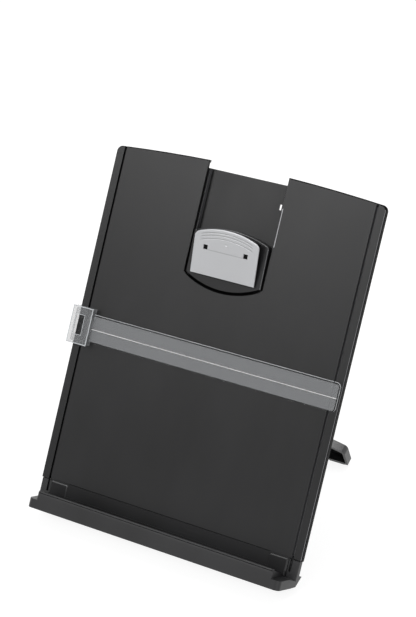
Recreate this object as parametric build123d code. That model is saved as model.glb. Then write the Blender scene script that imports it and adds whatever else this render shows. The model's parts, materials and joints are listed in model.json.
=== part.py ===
from build123d import *
import os
from math import acos, asin, atan2, cos, degrees, hypot, pi, radians, sin, sqrt, tan

# Copy holder with a sliding line guide and a sliding, spring-loaded paper clip.
#
# Every piece is drawn in the board's own frame and then leaned back onto the desk:
#   x  to the right along the board
#   n  out of the board's front face towards the reader (n = 0 is the front face)
#   v  up the board, from the underside of the ledge (v = 0)

# ------------------------------------------------------------------ driving sizes, mm and degrees
LEAN = 28.5                 # board behind the vertical when it stands on its leg

BOARD_HALF = 120.0          # half the board's width
BOARD_CROWN = 310.2         # highest point of the arched top
BOARD_ARCH = 5.3            # rise of the arched top above its two ends
BOARD_CORNER = 5.0          # radius of the two top corners
BOARD_THICK = 6.2           # front face to rear cover
BOARD_SEAM = 3.4            # depth of the seam between the two shells
SHELL_GAP = 0.1             # seam between the shells
PANEL_SKIN = 2.0
COVER_SKIN = 1.8
EDGE_WALL = 2.0             # wall around both shells
EDGE_ROUND = 0.9            # rounding of the front edges

RAIL_WIDTH = 6.8            # rail left between the runner groove and the board's edge
GROOVE_WIDTH = 2.0
GROOVE_DEPTH = 2.2
GROOVE_FLOOR = 1.6

RECESS_HALF = 35.3          # half width of the open bay for the clip arm
BAY_GAP = 1.0               # gap between the clip pad and the bay's curved end
BAY_ROUND = 0.4             # broken front edge of the bay
PAD_HALF = 33.5             # half width of the clip arm and its pad
PAD_FOOT = 209.9            # lowest point of the pad's curved lower edge
PAD_FOOT_RADIUS = 68.8
PAD_SIDE = 42.8             # pad foot to the ends of its arched top
PAD_HEIGHT = 49.0           # pad foot to the crown of its arched top
PAD_CORNER = 3.0
PAD_RISE = 3.0              # how far the pad's top stands proud of the board
PAD_FRONT = 0.0             # n of the pad's face at its lower edge
PAD_BREAK = 0.5             # broken edge around the pad's face

ARM_FACE = -2.2             # n of the arm's front face below the pad
ARM_SKIN = 1.8
ARM_BACK = -6.2             # n of the arm's rear flanges
ARM_WALL = 1.6
ARM_TRAVEL = 164.0
ARM_SHOE_REACH = 3.1        # how far the sliding shoes stand out of the arm's sides
ARM_SHOE_LENGTH = 30.0
ARM_SHOE_THICK = 3.5

TRACK_CLEAR = 0.4           # running clearance of the arm in its track
TRACK_WALL = 2.0
TRACK_FLOOR = 1.6
TRACK_RISE = 3.7            # track's foot above the board's foot
TRACK_DROP = 6.8            # track's top below the board's crown
WINDOW_SIZE = (3.6, 4.4)    # small window through the track floor
WINDOW_IN = 1.6             # inside the arm's edge
WINDOW_DROP = 24.6          # below the board's crown

BULGE_SKIN = 1.7
BULGE_CLEAR = 0.3

PIVOT_RISE = 31.6           # clip lever pivot above the pad's foot
PIVOT_N = 2.6
PIN_D = 2.4
PIN_HALF = 24.4
EAR_WIDTH = 3.0
KNUCKLE_IN = 15.0
KNUCKLE_WIDTH = 5.6
KNUCKLE_R = 2.4
POCKET_HALF = 25.0
POCKET_REACH = 5.5          # pocket above and below the pivot
POCKET_FLOOR = -1.4
RUN_CLEAR = 0.05            # radial running fit of the small pins

LEVER_TILT = 12.0
LEVER_HALF = 28.7
JAW_RISE = 9.4              # lever's gripping edge above the pad's foot
LEVER_JAW_N = 3.0
LEVER_SHOULDER = 33.2       # along the lever, from the gripping edge
LEVER_CROWN = 39.4
LEVER_CORNER = 3.0
LEVER_ROUND = 0.45
PLATE_THICK = 1.0
LEVER_THICK = 1.25
LEVER_INSET = 0.7
CHEEK_WALL = 1.6
CHEEK_CLEAR = 0.35
LEVER_TRAVEL = 16.0
HOLE_SIDE = 3.8             # two square windows over the hinge knuckles
HOLE_X = 17.9
GRIP_OFFSETS = (4.2, 7.7)   # grip grooves below the lever's arched edge
GRIP_HALF = 23.0
GRIP_WIDTH = 0.8
GRIP_DEPTH = 0.35

WIRE_D = 0.9
COIL_R = 1.95               # wire centre line
COIL_TURNS = 4              # whole turns, before the part turn between the legs
COIL_PITCH = 1.2
COIL_STEPS = 16             # facets along one turn
WIRE_SIDES = 8
SPRING_LEGS = (5.0, 8.0)    # on the pocket floor, under the lever
TOUCH = 0.02                # gap between pieces that bear on each other

JAW_PAD = (52.0, 4.6, 0.9)  # width, height, thickness of the rubber strip
JAW_PAD_DROP = 0.6          # below the lever's gripping edge
JAW_PAD_PROUD = 0.15

CARRIER_CLEAR = 0.35
CARRIER_EDGE = 2.25         # wall outside the board's edge
CARRIER_WIDTH = 18.8
CARRIER_FOOT = 138.2
CARRIER_HEIGHT = 31.1
CARRIER_FRONT = 7.2
CARRIER_WALL = 1.8
CARRIER_HOOK = 9.0          # reach of the rear hook round the board's edge
CARRIER_FRAME = (6.8, 4.0, 7.8, 6.9)    # frame round the window: right, left, below, above

RULER_DROP = 0.7            # ruler's free end inside the board's edge
RULER_RISE = 2.8            # ruler's lower edge above the carrier's
RULER_HEIGHT = 24.3
RULER_N = (1.6, 3.8)
RULER_CORNER = 4.0
RULER_RIM = 1.6
RULER_STEP = 0.4
TONGUE_DROP = 5.6           # end of the ruler's tongue inside the carrier's outer edge
TONGUE_INSET = 3.2
LINE_RISE = 11.6            # reading line above the ruler's lower edge
LINE_WIDTH = 0.9
LINE_DEPTH = 0.35

LEDGE_DROP = 3.7            # ledge's end inside the board's edge
LEDGE_FRONT = 22.7
LEDGE_FLOOR = 7.6
LEDGE_LIP = 15.2
LEDGE_WALL = 2.2
LEDGE_HEEL = -10.4          # n of the underside's rear edge
LEDGE_REAR = -18.7
LEDGE_SHELL = 2.0
LEDGE_CORNER = 4.5
LEDGE_TAPER = 1.4           # how much each end narrows towards the front
LIP_DROP = 8.7              # lip's end and end wall inside the ledge's end
LIP_FOLD = 11.7             # above this the lip's face leans back
LIP_LEAN = 0.5
LIP_GROOVE = (13.6, 0.5, 0.35)      # foot, height and depth of the line under the lip's crest
GUSSET_WALL = 1.5
GUSSET_LOW = 9.4
BACK_LIP_TOP = 12.5
BACK_LIP_WALL = 1.2
BACK_PLATE_TOP = 23.2       # thin plate over the board's foot
BACK_PLATE_WALL = 0.7
FOOT_CLEAR = 0.3            # around the board's foot in the ledge
EAR_WIDE = 10.0             # width of the corner ears
EAR_TOP = 22.2
EAR_DROP = 0.9              # ear's outer side inside the board's edge
EAR_SLOT = 12.5             # lower end of the runner slot in the ear
TAB_DROPS = (26.9, 10.3)    # tab's sides inside the board's edge
TAB_TOP = 22.6
TAB_FRONT = 1.8
TAB_BREAK = 1.2             # broad chamfer round the tab's face
STAY_DROPS = (70.0, 16.0)   # upright stays behind the board, inside its edge
STAY_TOP = 21.0
LEDGE_RIBS = 7
RIB = 1.5

FOOT_PROUD = 0.6            # rubber below the ledge's rear edge
BASE_FOOT_DROPS = (50.3, 10.3)
BASE_FOOT_SEAT = 0.8
BASE_FOOT_SPAN = (0.8, 8.6)     # along the slanted heel
BASE_FOOT_DEEP = 6.0        # rubber outside the heel, before it is cut flat

HINGE_V = 208.0             # leg hinge axis
HINGE_N = -16.5
BRACKET_THICK = 1.8
BRACKET_HALF = 38.0
BRACKET_BELOW = 18.0
BRACKET_ABOVE = 16.0
BRACKET_CORNER = 4.0
LUG_R = 4.4
LUG_WIDTH = 4.0
LEG_KNUCKLE_R = 4.1
LEG_KNUCKLE = (17.4, 29.8)
LUG_CLEAR = 0.4
LEG_PIN_D = 3.0
LEG_FOOT_V = 15.8           # lowest point of the leg when it is folded
LEG_INNER = -3.7
LEG_OUTER = 4.8
LEG_COLUMN = 30.0
LEG_TOP = 5.4
LEG_BAR_HALF = 82.5
LEG_SPLAY = 1.5             # how much wider the foot bar is at its sole
LEG_BAR = 17.4              # height of the arched foot bar at its ends
LEG_ARCH = 13.2             # rise of the foot bar's arched top above its ends
LEG_BAR_CORNER = 4.5
LEG_BAR_TOE = 2.6
LEG_FLARE = 24.0
LEG_HEEL = 1.6              # how far the foot bar's rear edge reaches towards the desk
LEG_WALL = 2.2
LEG_BREAK = 1.0             # broken edge round the leg's outer face
LEG_FOOT_X = (66.0, 80.0)
LEG_FOOT_SEAT = 1.0
LEG_FOOT_PROUD = 1.2
LEG_FOOT_NEAR = 0.6         # rubber pad inside the bar's open face
LEG_FOOT_DEEP = 4.6
HEEL_WIDTH = 3.0

SCREW_D = 2.9
SCREW_HEAD_D = 5.4
SCREW_HEAD = 1.3
SCREW_CLEAR = 0.15
SCREW_SIDES = 16
BOSS_D = 6.4
SCREW_IN = 20.0             # cover screws inside the board's edges
SCREW_LOW = 40.0
SCREW_DROP = 22.0           # upper cover screws below the board's crown

DRAG_HALF = 9.0             # leaf spring that drags on the track floor
DRAG_RISE = 6.0             # above the arm's lower end
DRAG_LENGTH = 42.0
DRAG_THICK = 0.4

# ------------------------------------------------------------------ sizes that follow
BOARD_SHOULDER = BOARD_CROWN - BOARD_ARCH
BOARD_FOOT = LEDGE_FLOOR + FOOT_CLEAR
GROOVE_OUT = BOARD_HALF - RAIL_WIDTH
GROOVE_IN = GROOVE_OUT - GROOVE_WIDTH
PIT_FLOOR = ARM_BACK - TRACK_CLEAR                       # n of the track floor's face
TRACK_BACK = PIT_FLOOR - TRACK_FLOOR
TRACK_HALF = PAD_HALF + ARM_SHOE_REACH + TRACK_CLEAR     # inner half width of the track
TRACK_OUT = TRACK_HALF + TRACK_WALL
TRACK_FOOT = BOARD_FOOT + TRACK_RISE
TRACK_TOP = BOARD_CROWN - TRACK_DROP
BULGE_IN = TRACK_OUT + BULGE_CLEAR
BULGE_HALF = BULGE_IN + BULGE_SKIN
BULGE_BACK = TRACK_BACK - BULGE_CLEAR - BULGE_SKIN
BULGE_TOP = TRACK_TOP - 2 * TRACK_CLEAR
WINDOW_AT = (PAD_HALF - WINDOW_IN, BOARD_CROWN - WINDOW_DROP)
ARM_FOOT = TRACK_FOOT + TRACK_WALL + TRACK_CLEAR         # lower end of the arm, clip fully down
SHOE_TOP = ARM_FOOT + ARM_SHOE_LENGTH
STOP_V = SHOE_TOP + ARM_TRAVEL + TRACK_CLEAR
DRAG_V = (ARM_FOOT + DRAG_RISE, ARM_FOOT + DRAG_RISE + DRAG_LENGTH)
PAD_SHOULDER = PAD_FOOT + PAD_SIDE
PAD_CROWN = PAD_FOOT + PAD_HEIGHT
PAD_ARC_V = PAD_FOOT + PAD_FOOT_RADIUS                   # centre of the pad's curved lower edge
PAD_SLOPE = PAD_RISE / PAD_HEIGHT
PIVOT_V = PAD_FOOT + PIVOT_RISE
LEVER_JAW_V = PAD_FOOT + JAW_RISE
POCKET_V = (PIVOT_V - POCKET_REACH, PIVOT_V + POCKET_REACH)
CARRIER_LEFT = BOARD_HALF + CARRIER_CLEAR + CARRIER_EDGE
CARRIER_RIGHT = CARRIER_LEFT - CARRIER_WIDTH
CARRIER_V = (CARRIER_FOOT, CARRIER_FOOT + CARRIER_HEIGHT)
RULER_END = BOARD_HALF - RULER_DROP
RULER_V = (CARRIER_FOOT + RULER_RISE, CARRIER_FOOT + RULER_RISE + RULER_HEIGHT)
TONGUE_END = CARRIER_LEFT - TONGUE_DROP
LINE_V = RULER_V[0] + LINE_RISE
LEDGE_HALF = BOARD_HALF - LEDGE_DROP
LIP_HALF = LEDGE_HALF - LIP_DROP
LEG_ARCH_R = (LEG_BAR_HALF ** 2 + LEG_ARCH ** 2) / (2 * LEG_ARCH)
EAR_IN = BOARD_HALF - EAR_WIDE
TAB_X = (BOARD_HALF - TAB_DROPS[0], BOARD_HALF - TAB_DROPS[1])
STAY_X = (BOARD_HALF - STAY_DROPS[0], BOARD_HALF - STAY_DROPS[1])
BASE_FOOT_X = (LEDGE_HALF - BASE_FOOT_DROPS[0], LEDGE_HALF - BASE_FOOT_DROPS[1])
SCREW_X = BOARD_HALF - SCREW_IN
COVER_SCREWS = [(x, v) for x in (-SCREW_X, SCREW_X) for v in (SCREW_LOW, BOARD_CROWN - SCREW_DROP)]
BRACKET_BACK = BULGE_BACK - BRACKET_THICK
BRACKET_V = (HINGE_V - BRACKET_BELOW, HINGE_V + BRACKET_ABOVE)
BRACKET_SCREWS = [(x, v) for x in (-BRACKET_HALF + BRACKET_CORNER, BRACKET_HALF - BRACKET_CORNER)
                  for v in (BRACKET_V[0] + BRACKET_CORNER + 1, BRACKET_V[1] - BRACKET_CORNER - 1)]
LEG_REACH = HINGE_V - LEG_FOOT_V                         # hinge axis to the desk along the leg

SLOPE = radians(LEAN)
HINGE_RISE = HINGE_N * sin(SLOPE) + HINGE_V * cos(SLOPE)
DESK = LEDGE_HEEL * sin(SLOPE) - FOOT_PROUD              # height of the desk in the leaned frame
LEG_ANGLE = (LEAN + degrees(acos((HINGE_RISE - DESK) / hypot(LEG_REACH, LEG_INNER)))
             - degrees(atan2(LEG_INNER, LEG_REACH)))     # opening angle between leg and board


# ------------------------------------------------------------------ drawing helpers
def front(n):
    """Plane parallel to the board at depth n: sketches are (x, v), normal to the reader."""
    return Plane(origin=(0, -n, 0), x_dir=(1, 0, 0), z_dir=(0, -1, 0))


def side(x):
    """Plane across the board at x: sketches are (n, v), normal to the left."""
    return Plane(origin=(x, 0, 0), x_dir=(0, -1, 0), z_dir=(-1, 0, 0))


def slab(face, n_back, n_front):
    """A face drawn on the board, as thick as the span from n_back to n_front."""
    return extrude(front(n_back) * face, n_front - n_back)


def bar(profile, x0, x1):
    """A side profile carried along x."""
    return extrude(side(x1) * profile, x1 - x0)


def rect(x0, x1, v0, v1):
    return Pos((x0 + x1) / 2, (v0 + v1) / 2) * Rectangle(x1 - x0, v1 - v0)


def block(x0, x1, n0, n1, v0, v1):
    return slab(rect(x0, x1, v0, v1), n0, n1)


def both(shape):
    """A piece and its mirror image about the board's centre line."""
    return shape + mirror(shape, about=Plane.YZ)


def polygon(*points):
    return make_face(Polyline(*points, close=True))


def rod(x0, x1, n, v, radius):
    """A round bar along x."""
    return extrude(side(x1) * (Pos(n, v) * Circle(radius)), x1 - x0)


def peg(x, v, n_back, n_front, radius):
    """A small round peg or hole square to the board, drawn with a few flats."""
    return slab(Pos(x, v) * RegularPolygon(radius, SCREW_SIDES), n_back, n_front)


def board_outline(inset=0.0, foot=BOARD_FOOT):
    """The board's outline with its arched top, drawn in by inset."""
    half = BOARD_HALF - inset
    shoulder = BOARD_SHOULDER - inset
    low = foot + inset
    edges = (Line((-half, shoulder), (-half, low)) + Line((-half, low), (half, low))
             + Line((half, low), (half, shoulder))
             + ThreePointArc((half, shoulder), (0, BOARD_CROWN - inset), (-half, shoulder)))
    face = make_face(edges)
    corners = [p for p in face.vertices() if p.Y > low + 1]
    return fillet(corners, max(BOARD_CORNER - inset, 0.5))


def ear_notches(grow=0.0):
    """Places of the ledge's two corner ears, taken out of the board's lower corners."""
    notch = rect(EAR_IN - FOOT_CLEAR - grow, BOARD_HALF + 1, 0, EAR_TOP + FOOT_CLEAR + grow)
    return notch + mirror(notch, about=Plane.YZ)


def bay(half, radius, top):
    """The open-topped bay with a round lower end, centred on the pad's curved edge."""
    reach = PAD_ARC_V - (radius ** 2 - half ** 2) ** 0.5
    edges = (Line((-half, top), (-half, reach))
             + ThreePointArc((-half, reach), (0, PAD_ARC_V - radius), (half, reach))
             + Line((half, reach), (half, top)) + Line((half, top), (-half, top)))
    return make_face(edges)


def pad_outline(foot=None):
    """The clip pad: curved lower edge, straight sides and an arched top with small corners."""
    reach = PAD_ARC_V - (PAD_FOOT_RADIUS ** 2 - PAD_HALF ** 2) ** 0.5
    if foot is None:
        low = (Line((-PAD_HALF, PAD_SHOULDER), (-PAD_HALF, reach))
               + ThreePointArc((-PAD_HALF, reach), (0, PAD_FOOT), (PAD_HALF, reach))
               + Line((PAD_HALF, reach), (PAD_HALF, PAD_SHOULDER)))
    else:
        low = (Line((-PAD_HALF, PAD_SHOULDER), (-PAD_HALF, foot))
               + Line((-PAD_HALF, foot), (PAD_HALF, foot))
               + Line((PAD_HALF, foot), (PAD_HALF, PAD_SHOULDER)))
    crown = ThreePointArc((PAD_HALF, PAD_SHOULDER), (0, PAD_CROWN), (-PAD_HALF, PAD_SHOULDER))
    face = make_face(low + crown)
    corners = [p for p in face.vertices() if abs(p.Y - PAD_SHOULDER) < 0.01]
    return fillet(corners, PAD_CORNER)


def pad_face(v):
    """n of the pad's sloping face at height v."""
    return PAD_FRONT + (v - PAD_FOOT) * PAD_SLOPE


# ------------------------------------------------------------------ board
def make_front_panel():
    """Front shell: flat skin, edge wall, two rail grooves, screw bosses and the clip's bay."""
    shell = slab(board_outline() - ear_notches(), -BOARD_SEAM, 0)
    rim = [e for e in shell.edges().filter_by_position(Axis.Y, -0.01, 0.01)]
    shell = fillet(rim, EDGE_ROUND)
    shell -= slab(board_outline(EDGE_WALL) - ear_notches(EDGE_WALL), -BOARD_SEAM, -PANEL_SKIN)
    backing = block(GROOVE_IN - GROOVE_FLOOR, GROOVE_OUT + GROOVE_FLOOR,
                    -GROOVE_DEPTH - GROOVE_FLOOR, -PANEL_SKIN,
                    EAR_TOP + FOOT_CLEAR + EDGE_WALL + SHELL_GAP, BOARD_SHOULDER - EDGE_WALL)
    shell += both(backing)
    for x, v in COVER_SCREWS:
        shell += peg(x, v, -BOARD_THICK + COVER_SKIN + SHELL_GAP, -PANEL_SKIN, BOSS_D / 2)
        shell -= peg(x, v, -BOARD_THICK, -PANEL_SKIN + 0.6, SCREW_D / 2)
    shell -= both(block(GROOVE_IN, GROOVE_OUT, -GROOVE_DEPTH, 1, 0, BOARD_CROWN + 1))
    opening = slab(bay(RECESS_HALF, PAD_FOOT_RADIUS + BAY_GAP, BOARD_CROWN + 1), -BOARD_THICK, 0)
    mouth = extrude(front(0) * bay(RECESS_HALF + BAY_ROUND, PAD_FOOT_RADIUS + BAY_GAP + BAY_ROUND,
                                   BOARD_CROWN + 1), -2 * BAY_ROUND, taper=26.6)
    return shell - opening - mouth


def make_rear_cover():
    """Rear shell with the raised spine that houses the arm's track."""
    shell = slab(board_outline() - ear_notches(), -BOARD_THICK, -BOARD_SEAM - SHELL_GAP)
    rim = [e for e in shell.edges().filter_by_position(Axis.Y, BOARD_THICK - 0.01, BOARD_THICK + 0.01)]
    shell = chamfer(rim, EDGE_ROUND)
    shell -= slab(board_outline(EDGE_WALL) - ear_notches(EDGE_WALL),
                  -BOARD_THICK + COVER_SKIN, -BOARD_SEAM)
    foot = TRACK_FOOT - BULGE_CLEAR - BULGE_SKIN
    spine = block(-BULGE_HALF, BULGE_HALF, BULGE_BACK, -BOARD_THICK + COVER_SKIN, foot, BULGE_TOP)
    spine = fillet(spine.edges().filter_by(Axis.Z), 2.0)
    shell += spine
    shell -= block(-BULGE_IN, BULGE_IN, BULGE_BACK + BULGE_SKIN, 0,
                   TRACK_FOOT - BULGE_CLEAR, BOARD_CROWN + 1)
    width, height = WINDOW_SIZE
    x, v = WINDOW_AT
    shell -= block(x - width / 2 - 2, x + width / 2 + 1, BULGE_BACK - 1, -BOARD_THICK,
                   v - height / 2 - 1, v + height / 2 + 1)
    for x, v in COVER_SCREWS:
        shell -= peg(x, v, -BOARD_THICK - 1, 0, SCREW_D / 2 + SCREW_CLEAR)
        shell -= peg(x, v, -BOARD_THICK - 1, -BOARD_THICK + SCREW_HEAD, SCREW_HEAD_D / 2 + SCREW_CLEAR)
    for x, v in BRACKET_SCREWS:
        shell -= peg(x, v, BULGE_BACK - 1, BULGE_BACK + BULGE_SKIN - 0.4, SCREW_D / 2)
    return shell


def make_cover_screws():
    """Screws that draw the rear cover onto the front panel's bosses."""
    screws = []
    for x, v in COVER_SCREWS:
        head = peg(x, v, -BOARD_THICK, -BOARD_THICK + SCREW_HEAD, SCREW_HEAD_D / 2)
        screws.append(head + peg(x, v, -BOARD_THICK, -PANEL_SKIN, SCREW_D / 2 - 0.05))
    return screws


def make_arm_track():
    """U-section track: the bay's dark floor, guide ribs, and stops for the arm's shoes."""
    floor = block(-TRACK_OUT, TRACK_OUT, TRACK_BACK, PIT_FLOOR, TRACK_FOOT, TRACK_TOP)
    wall = block(TRACK_HALF, TRACK_OUT, TRACK_BACK, -PANEL_SKIN - SHELL_GAP, TRACK_FOOT, TRACK_TOP)
    rib = block(PAD_HALF + TRACK_CLEAR, RECESS_HALF - TRACK_CLEAR / 2, PIT_FLOOR,
                ARM_FACE - TRACK_CLEAR, STOP_V, TRACK_TOP)
    stop = block(PAD_HALF + 2 * TRACK_CLEAR, TRACK_HALF, PIT_FLOOR,
                 ARM_FACE - TRACK_CLEAR, STOP_V, STOP_V + ARM_SHOE_THICK)
    end = block(-TRACK_HALF, TRACK_HALF, PIT_FLOOR, -PANEL_SKIN - SHELL_GAP,
                TRACK_FOOT, TRACK_FOOT + TRACK_WALL)
    track = floor + both(wall) + both(rib) + both(stop) + end
    width, height = WINDOW_SIZE
    x, v = WINDOW_AT
    track -= block(x - width / 2, x + width / 2, TRACK_BACK - 1, PIT_FLOOR + 1,
                   v - height / 2, v + height / 2)
    return track


# ------------------------------------------------------------------ clip arm
def make_clip_arm():
    """Ribbed arm with the raised, sloping pad, the lever's ears and the sliding shoes."""
    plate = slab(pad_outline(ARM_FOOT), ARM_FACE - ARM_SKIN, ARM_FACE)
    frame = slab(pad_outline(ARM_FOOT), ARM_BACK, ARM_FACE - ARM_SKIN)
    inner = rect(-PAD_HALF + ARM_WALL, PAD_HALF - ARM_WALL, ARM_FOOT + ARM_WALL, PAD_SHOULDER - 1.0)
    frame -= slab(inner, ARM_BACK, ARM_FACE - ARM_SKIN)
    arm = plate + frame
    rib_span = PAD_SHOULDER - ARM_FOOT
    for step in range(1, 5):
        v = ARM_FOOT + 50 + step * (rib_span - 50) / 5
        arm += block(-PAD_HALF + ARM_WALL, PAD_HALF - ARM_WALL, ARM_BACK + 0.8, ARM_FACE - ARM_SKIN,
                     v - RIB / 2, v + RIB / 2)
    slope = polygon((ARM_FACE - 0.5, PAD_FOOT - 1), (pad_face(PAD_FOOT - 1), PAD_FOOT - 1),
                    (pad_face(PAD_CROWN + 1), PAD_CROWN + 1), (ARM_FACE - 0.5, PAD_CROWN + 1))
    pad = slab(pad_outline(), ARM_FACE - 0.5, PAD_RISE + 2) & bar(slope, -PAD_HALF - 1, PAD_HALF + 1)
    pad = pad.solid()
    face = pad.faces().sort_by(Axis.Y)[0]
    arm += chamfer(face.outer_wire().edges(), PAD_BREAK)
    pocket = block(-POCKET_HALF, POCKET_HALF, POCKET_FLOOR, PAD_RISE + 2, *POCKET_V)
    arm -= pocket
    ear = bar(make_face(Line((POCKET_FLOOR, PIVOT_V - KNUCKLE_R), (PIVOT_N, PIVOT_V - KNUCKLE_R))
                        + ThreePointArc((PIVOT_N, PIVOT_V - KNUCKLE_R), (PIVOT_N + KNUCKLE_R, PIVOT_V),
                                        (PIVOT_N, PIVOT_V + KNUCKLE_R))
                        + Line((PIVOT_N, PIVOT_V + KNUCKLE_R), (POCKET_FLOOR, PIVOT_V + KNUCKLE_R))
                        + Line((POCKET_FLOOR, PIVOT_V + KNUCKLE_R), (POCKET_FLOOR, PIVOT_V - KNUCKLE_R))),
              PIN_HALF - EAR_WIDTH, PIN_HALF)
    inner_ear = Pos(KNUCKLE_IN - RUN_CLEAR * 4 - PIN_HALF, 0, 0) * ear
    arm += both(ear) + both(inner_ear)
    arm -= rod(-PIN_HALF, PIN_HALF, PIVOT_N, PIVOT_V, PIN_D / 2)
    width, height, thick = JAW_PAD
    arm -= jaw_strip(width, height, thick, 0)
    shoe = block(PAD_HALF - 0.5, PAD_HALF + ARM_SHOE_REACH, ARM_BACK, ARM_BACK + ARM_SHOE_THICK,
                 ARM_FOOT, SHOE_TOP)
    arm += both(shoe)
    return arm


def jaw_strip(width, height, thick, proud):
    """A strip let into the pad's sloping face under the lever's gripping edge."""
    low = LEVER_JAW_V - JAW_PAD_DROP
    profile = polygon((pad_face(low) - thick, low), (pad_face(low) + proud, low),
                      (pad_face(low + height) + proud, low + height),
                      (pad_face(low + height) - thick, low + height))
    return bar(profile, -width / 2, width / 2)


def make_jaw_pad():
    """Rubber strip that the paper is pressed against."""
    width, height, thick = JAW_PAD
    return jaw_strip(width, height, thick, JAW_PAD_PROUD)


def make_pivot_pin():
    """Steel pin of the clip lever, pressed into the arm's ears."""
    return rod(-PIN_HALF, PIN_HALF, PIVOT_N, PIVOT_V, PIN_D / 2)


def spring_lean(length, gap):
    """Angle at which a straight spring leg of this length spans a gap from the pin's axis."""
    return degrees(asin((gap - WIRE_D / 2 - TOUCH) / hypot(COIL_R, length))
                   - atan2(COIL_R, length))


def tube(points, radius, sides):
    """A closed tube of flat facets carried along a line of points."""
    rings = []
    count = len(points)
    for k, point in enumerate(points):
        ahead = (points[min(k + 1, count - 1)] - points[max(k - 1, 0)]).normalized()
        u = ahead.cross(Vector(0, 0, 1)).normalized()
        w = ahead.cross(u)
        turn = [2 * pi * side / sides for side in range(sides)]
        rings.append([point + u * (radius * cos(a)) + w * (radius * sin(a)) for a in turn])
    faces = [Face(Wire.make_polygon(rings[0])), Face(Wire.make_polygon(rings[-1]))]
    for low, high in zip(rings[:-1], rings[1:]):
        for a in range(sides):
            b = (a + 1) % sides
            faces.append(Face(Wire.make_polygon([low[a], low[b], high[b]])))
            faces.append(Face(Wire.make_polygon([low[a], high[b], high[a]])))
    return Solid(Shell(faces))


def make_clip_spring():
    """Torsion spring round the pin: one leg on the pocket floor, one under the lever."""
    low_leg, high_leg = SPRING_LEGS
    low = spring_lean(low_leg, PIVOT_N - POCKET_FLOOR)
    high = LEVER_TILT + spring_lean(high_leg, LEVER_RISE)
    turns = COIL_TURNS + (180 - low - high) / 360
    steps = round(turns * COIL_STEPS)
    points = []
    for k in range(steps + 1):
        angle = radians(low + 360 * turns * k / steps)
        points.append(Vector(COIL_R * cos(angle), COIL_R * sin(angle), COIL_PITCH * turns * k / steps))
    low_way = Vector(sin(radians(low)), -cos(radians(low)), 0)
    high_way = Vector(-sin(radians(high)), -cos(radians(high)), 0)
    points = [points[0] + low_way * low_leg] + points + [points[-1] + high_way * high_leg]
    across = Plane(origin=(COIL_PITCH * turns / 2, -PIVOT_N, PIVOT_V), x_dir=(0, 1, 0), z_dir=(-1, 0, 0))
    return across * tube(points, WIRE_D / 2, WIRE_SIDES)


def make_drag_spring():
    """Bowed leaf under the arm: its drag on the track floor holds the clip at any height."""
    v0, v1 = DRAG_V
    seat = ARM_FACE - ARM_SKIN - TOUCH
    belly = PIT_FLOOR + 2 * TOUCH + DRAG_THICK
    mid = (v0 + v1) / 2
    outer = ThreePointArc((seat, v0), (belly, mid), (seat, v1))
    inner = ThreePointArc((seat - DRAG_THICK, v0), (belly - DRAG_THICK, mid), (seat - DRAG_THICK, v1))
    face = make_face(outer + Line((seat, v1), (seat - DRAG_THICK, v1)) + inner
                     + Line((seat - DRAG_THICK, v0), (seat, v0)))
    return bar(face, -DRAG_HALF, DRAG_HALF)


# ------------------------------------------------------------------ clip lever
LEVER_RISE = ((LEVER_JAW_N - PIVOT_N + (PIVOT_V - LEVER_JAW_V) * tan(radians(LEVER_TILT)))
              * cos(radians(LEVER_TILT)) - PLATE_THICK - LEVER_THICK)   # pin axis to lever web
LEVER_PLANE = Plane(origin=(0, -LEVER_JAW_N, LEVER_JAW_V), x_dir=(1, 0, 0),
                    z_dir=(0, -cos(radians(LEVER_TILT)), -sin(radians(LEVER_TILT))))


def lever_outline(inset=0.0):
    """Lever outline in its own tilted plane: straight gripping edge, arched thumb edge."""
    half = LEVER_HALF - inset
    shoulder = LEVER_SHOULDER - inset
    edges = (Line((-half, shoulder), (-half, inset)) + Line((-half, inset), (half, inset))
             + Line((half, inset), (half, shoulder))
             + ThreePointArc((half, shoulder), (0, LEVER_CROWN - inset), (-half, shoulder)))
    face = make_face(edges)
    corners = [p for p in face.vertices() if p.Y > shoulder - 0.5]
    return fillet(corners, LEVER_CORNER - inset)


def on_lever(face, depth, thick):
    """A face drawn on the lever, from depth below its top surface, thick towards the reader."""
    return extrude(LEVER_PLANE.offset(-depth) * face, thick)


def grip_arc(offset):
    """A thin band parallel to the lever's arched edge."""
    rise = LEVER_CROWN - LEVER_SHOULDER
    radius = (LEVER_HALF ** 2 + rise ** 2) / (2 * rise)
    centre = LEVER_CROWN - radius
    ring = Circle(radius - offset) - Circle(radius - offset - GRIP_WIDTH)
    return (Pos(0, centre) * ring) & rect(-GRIP_HALF, GRIP_HALF, centre, LEVER_CROWN)


def make_lever_plate():
    """Silver face of the lever with grip grooves, two square windows and a fold line."""
    plate = on_lever(lever_outline(), PLATE_THICK, PLATE_THICK)
    top = plate.faces().sort_by(Axis.Y)[0]
    plate = fillet(top.outer_wire().edges(), LEVER_ROUND)
    hole_s = (PIVOT_V - LEVER_JAW_V) / cos(radians(LEVER_TILT))
    for x in (-HOLE_X, HOLE_X):
        hole = Pos(x, hole_s) * Rectangle(HOLE_SIDE, HOLE_SIDE)
        plate -= on_lever(hole, PLATE_THICK + 0.5, PLATE_THICK + 1)
    for offset in GRIP_OFFSETS:
        plate -= on_lever(grip_arc(offset), GRIP_DEPTH, 1)
    fold = rect(-HOLE_X + HOLE_SIDE / 2, HOLE_X - HOLE_SIDE / 2, hole_s - 1.9, hole_s - 1.6)
    plate -= on_lever(fold, 0.2, 1)
    plate -= on_lever(Pos(0, hole_s + 4.9) * Circle(0.8), 0.4, 1)
    return plate


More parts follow.
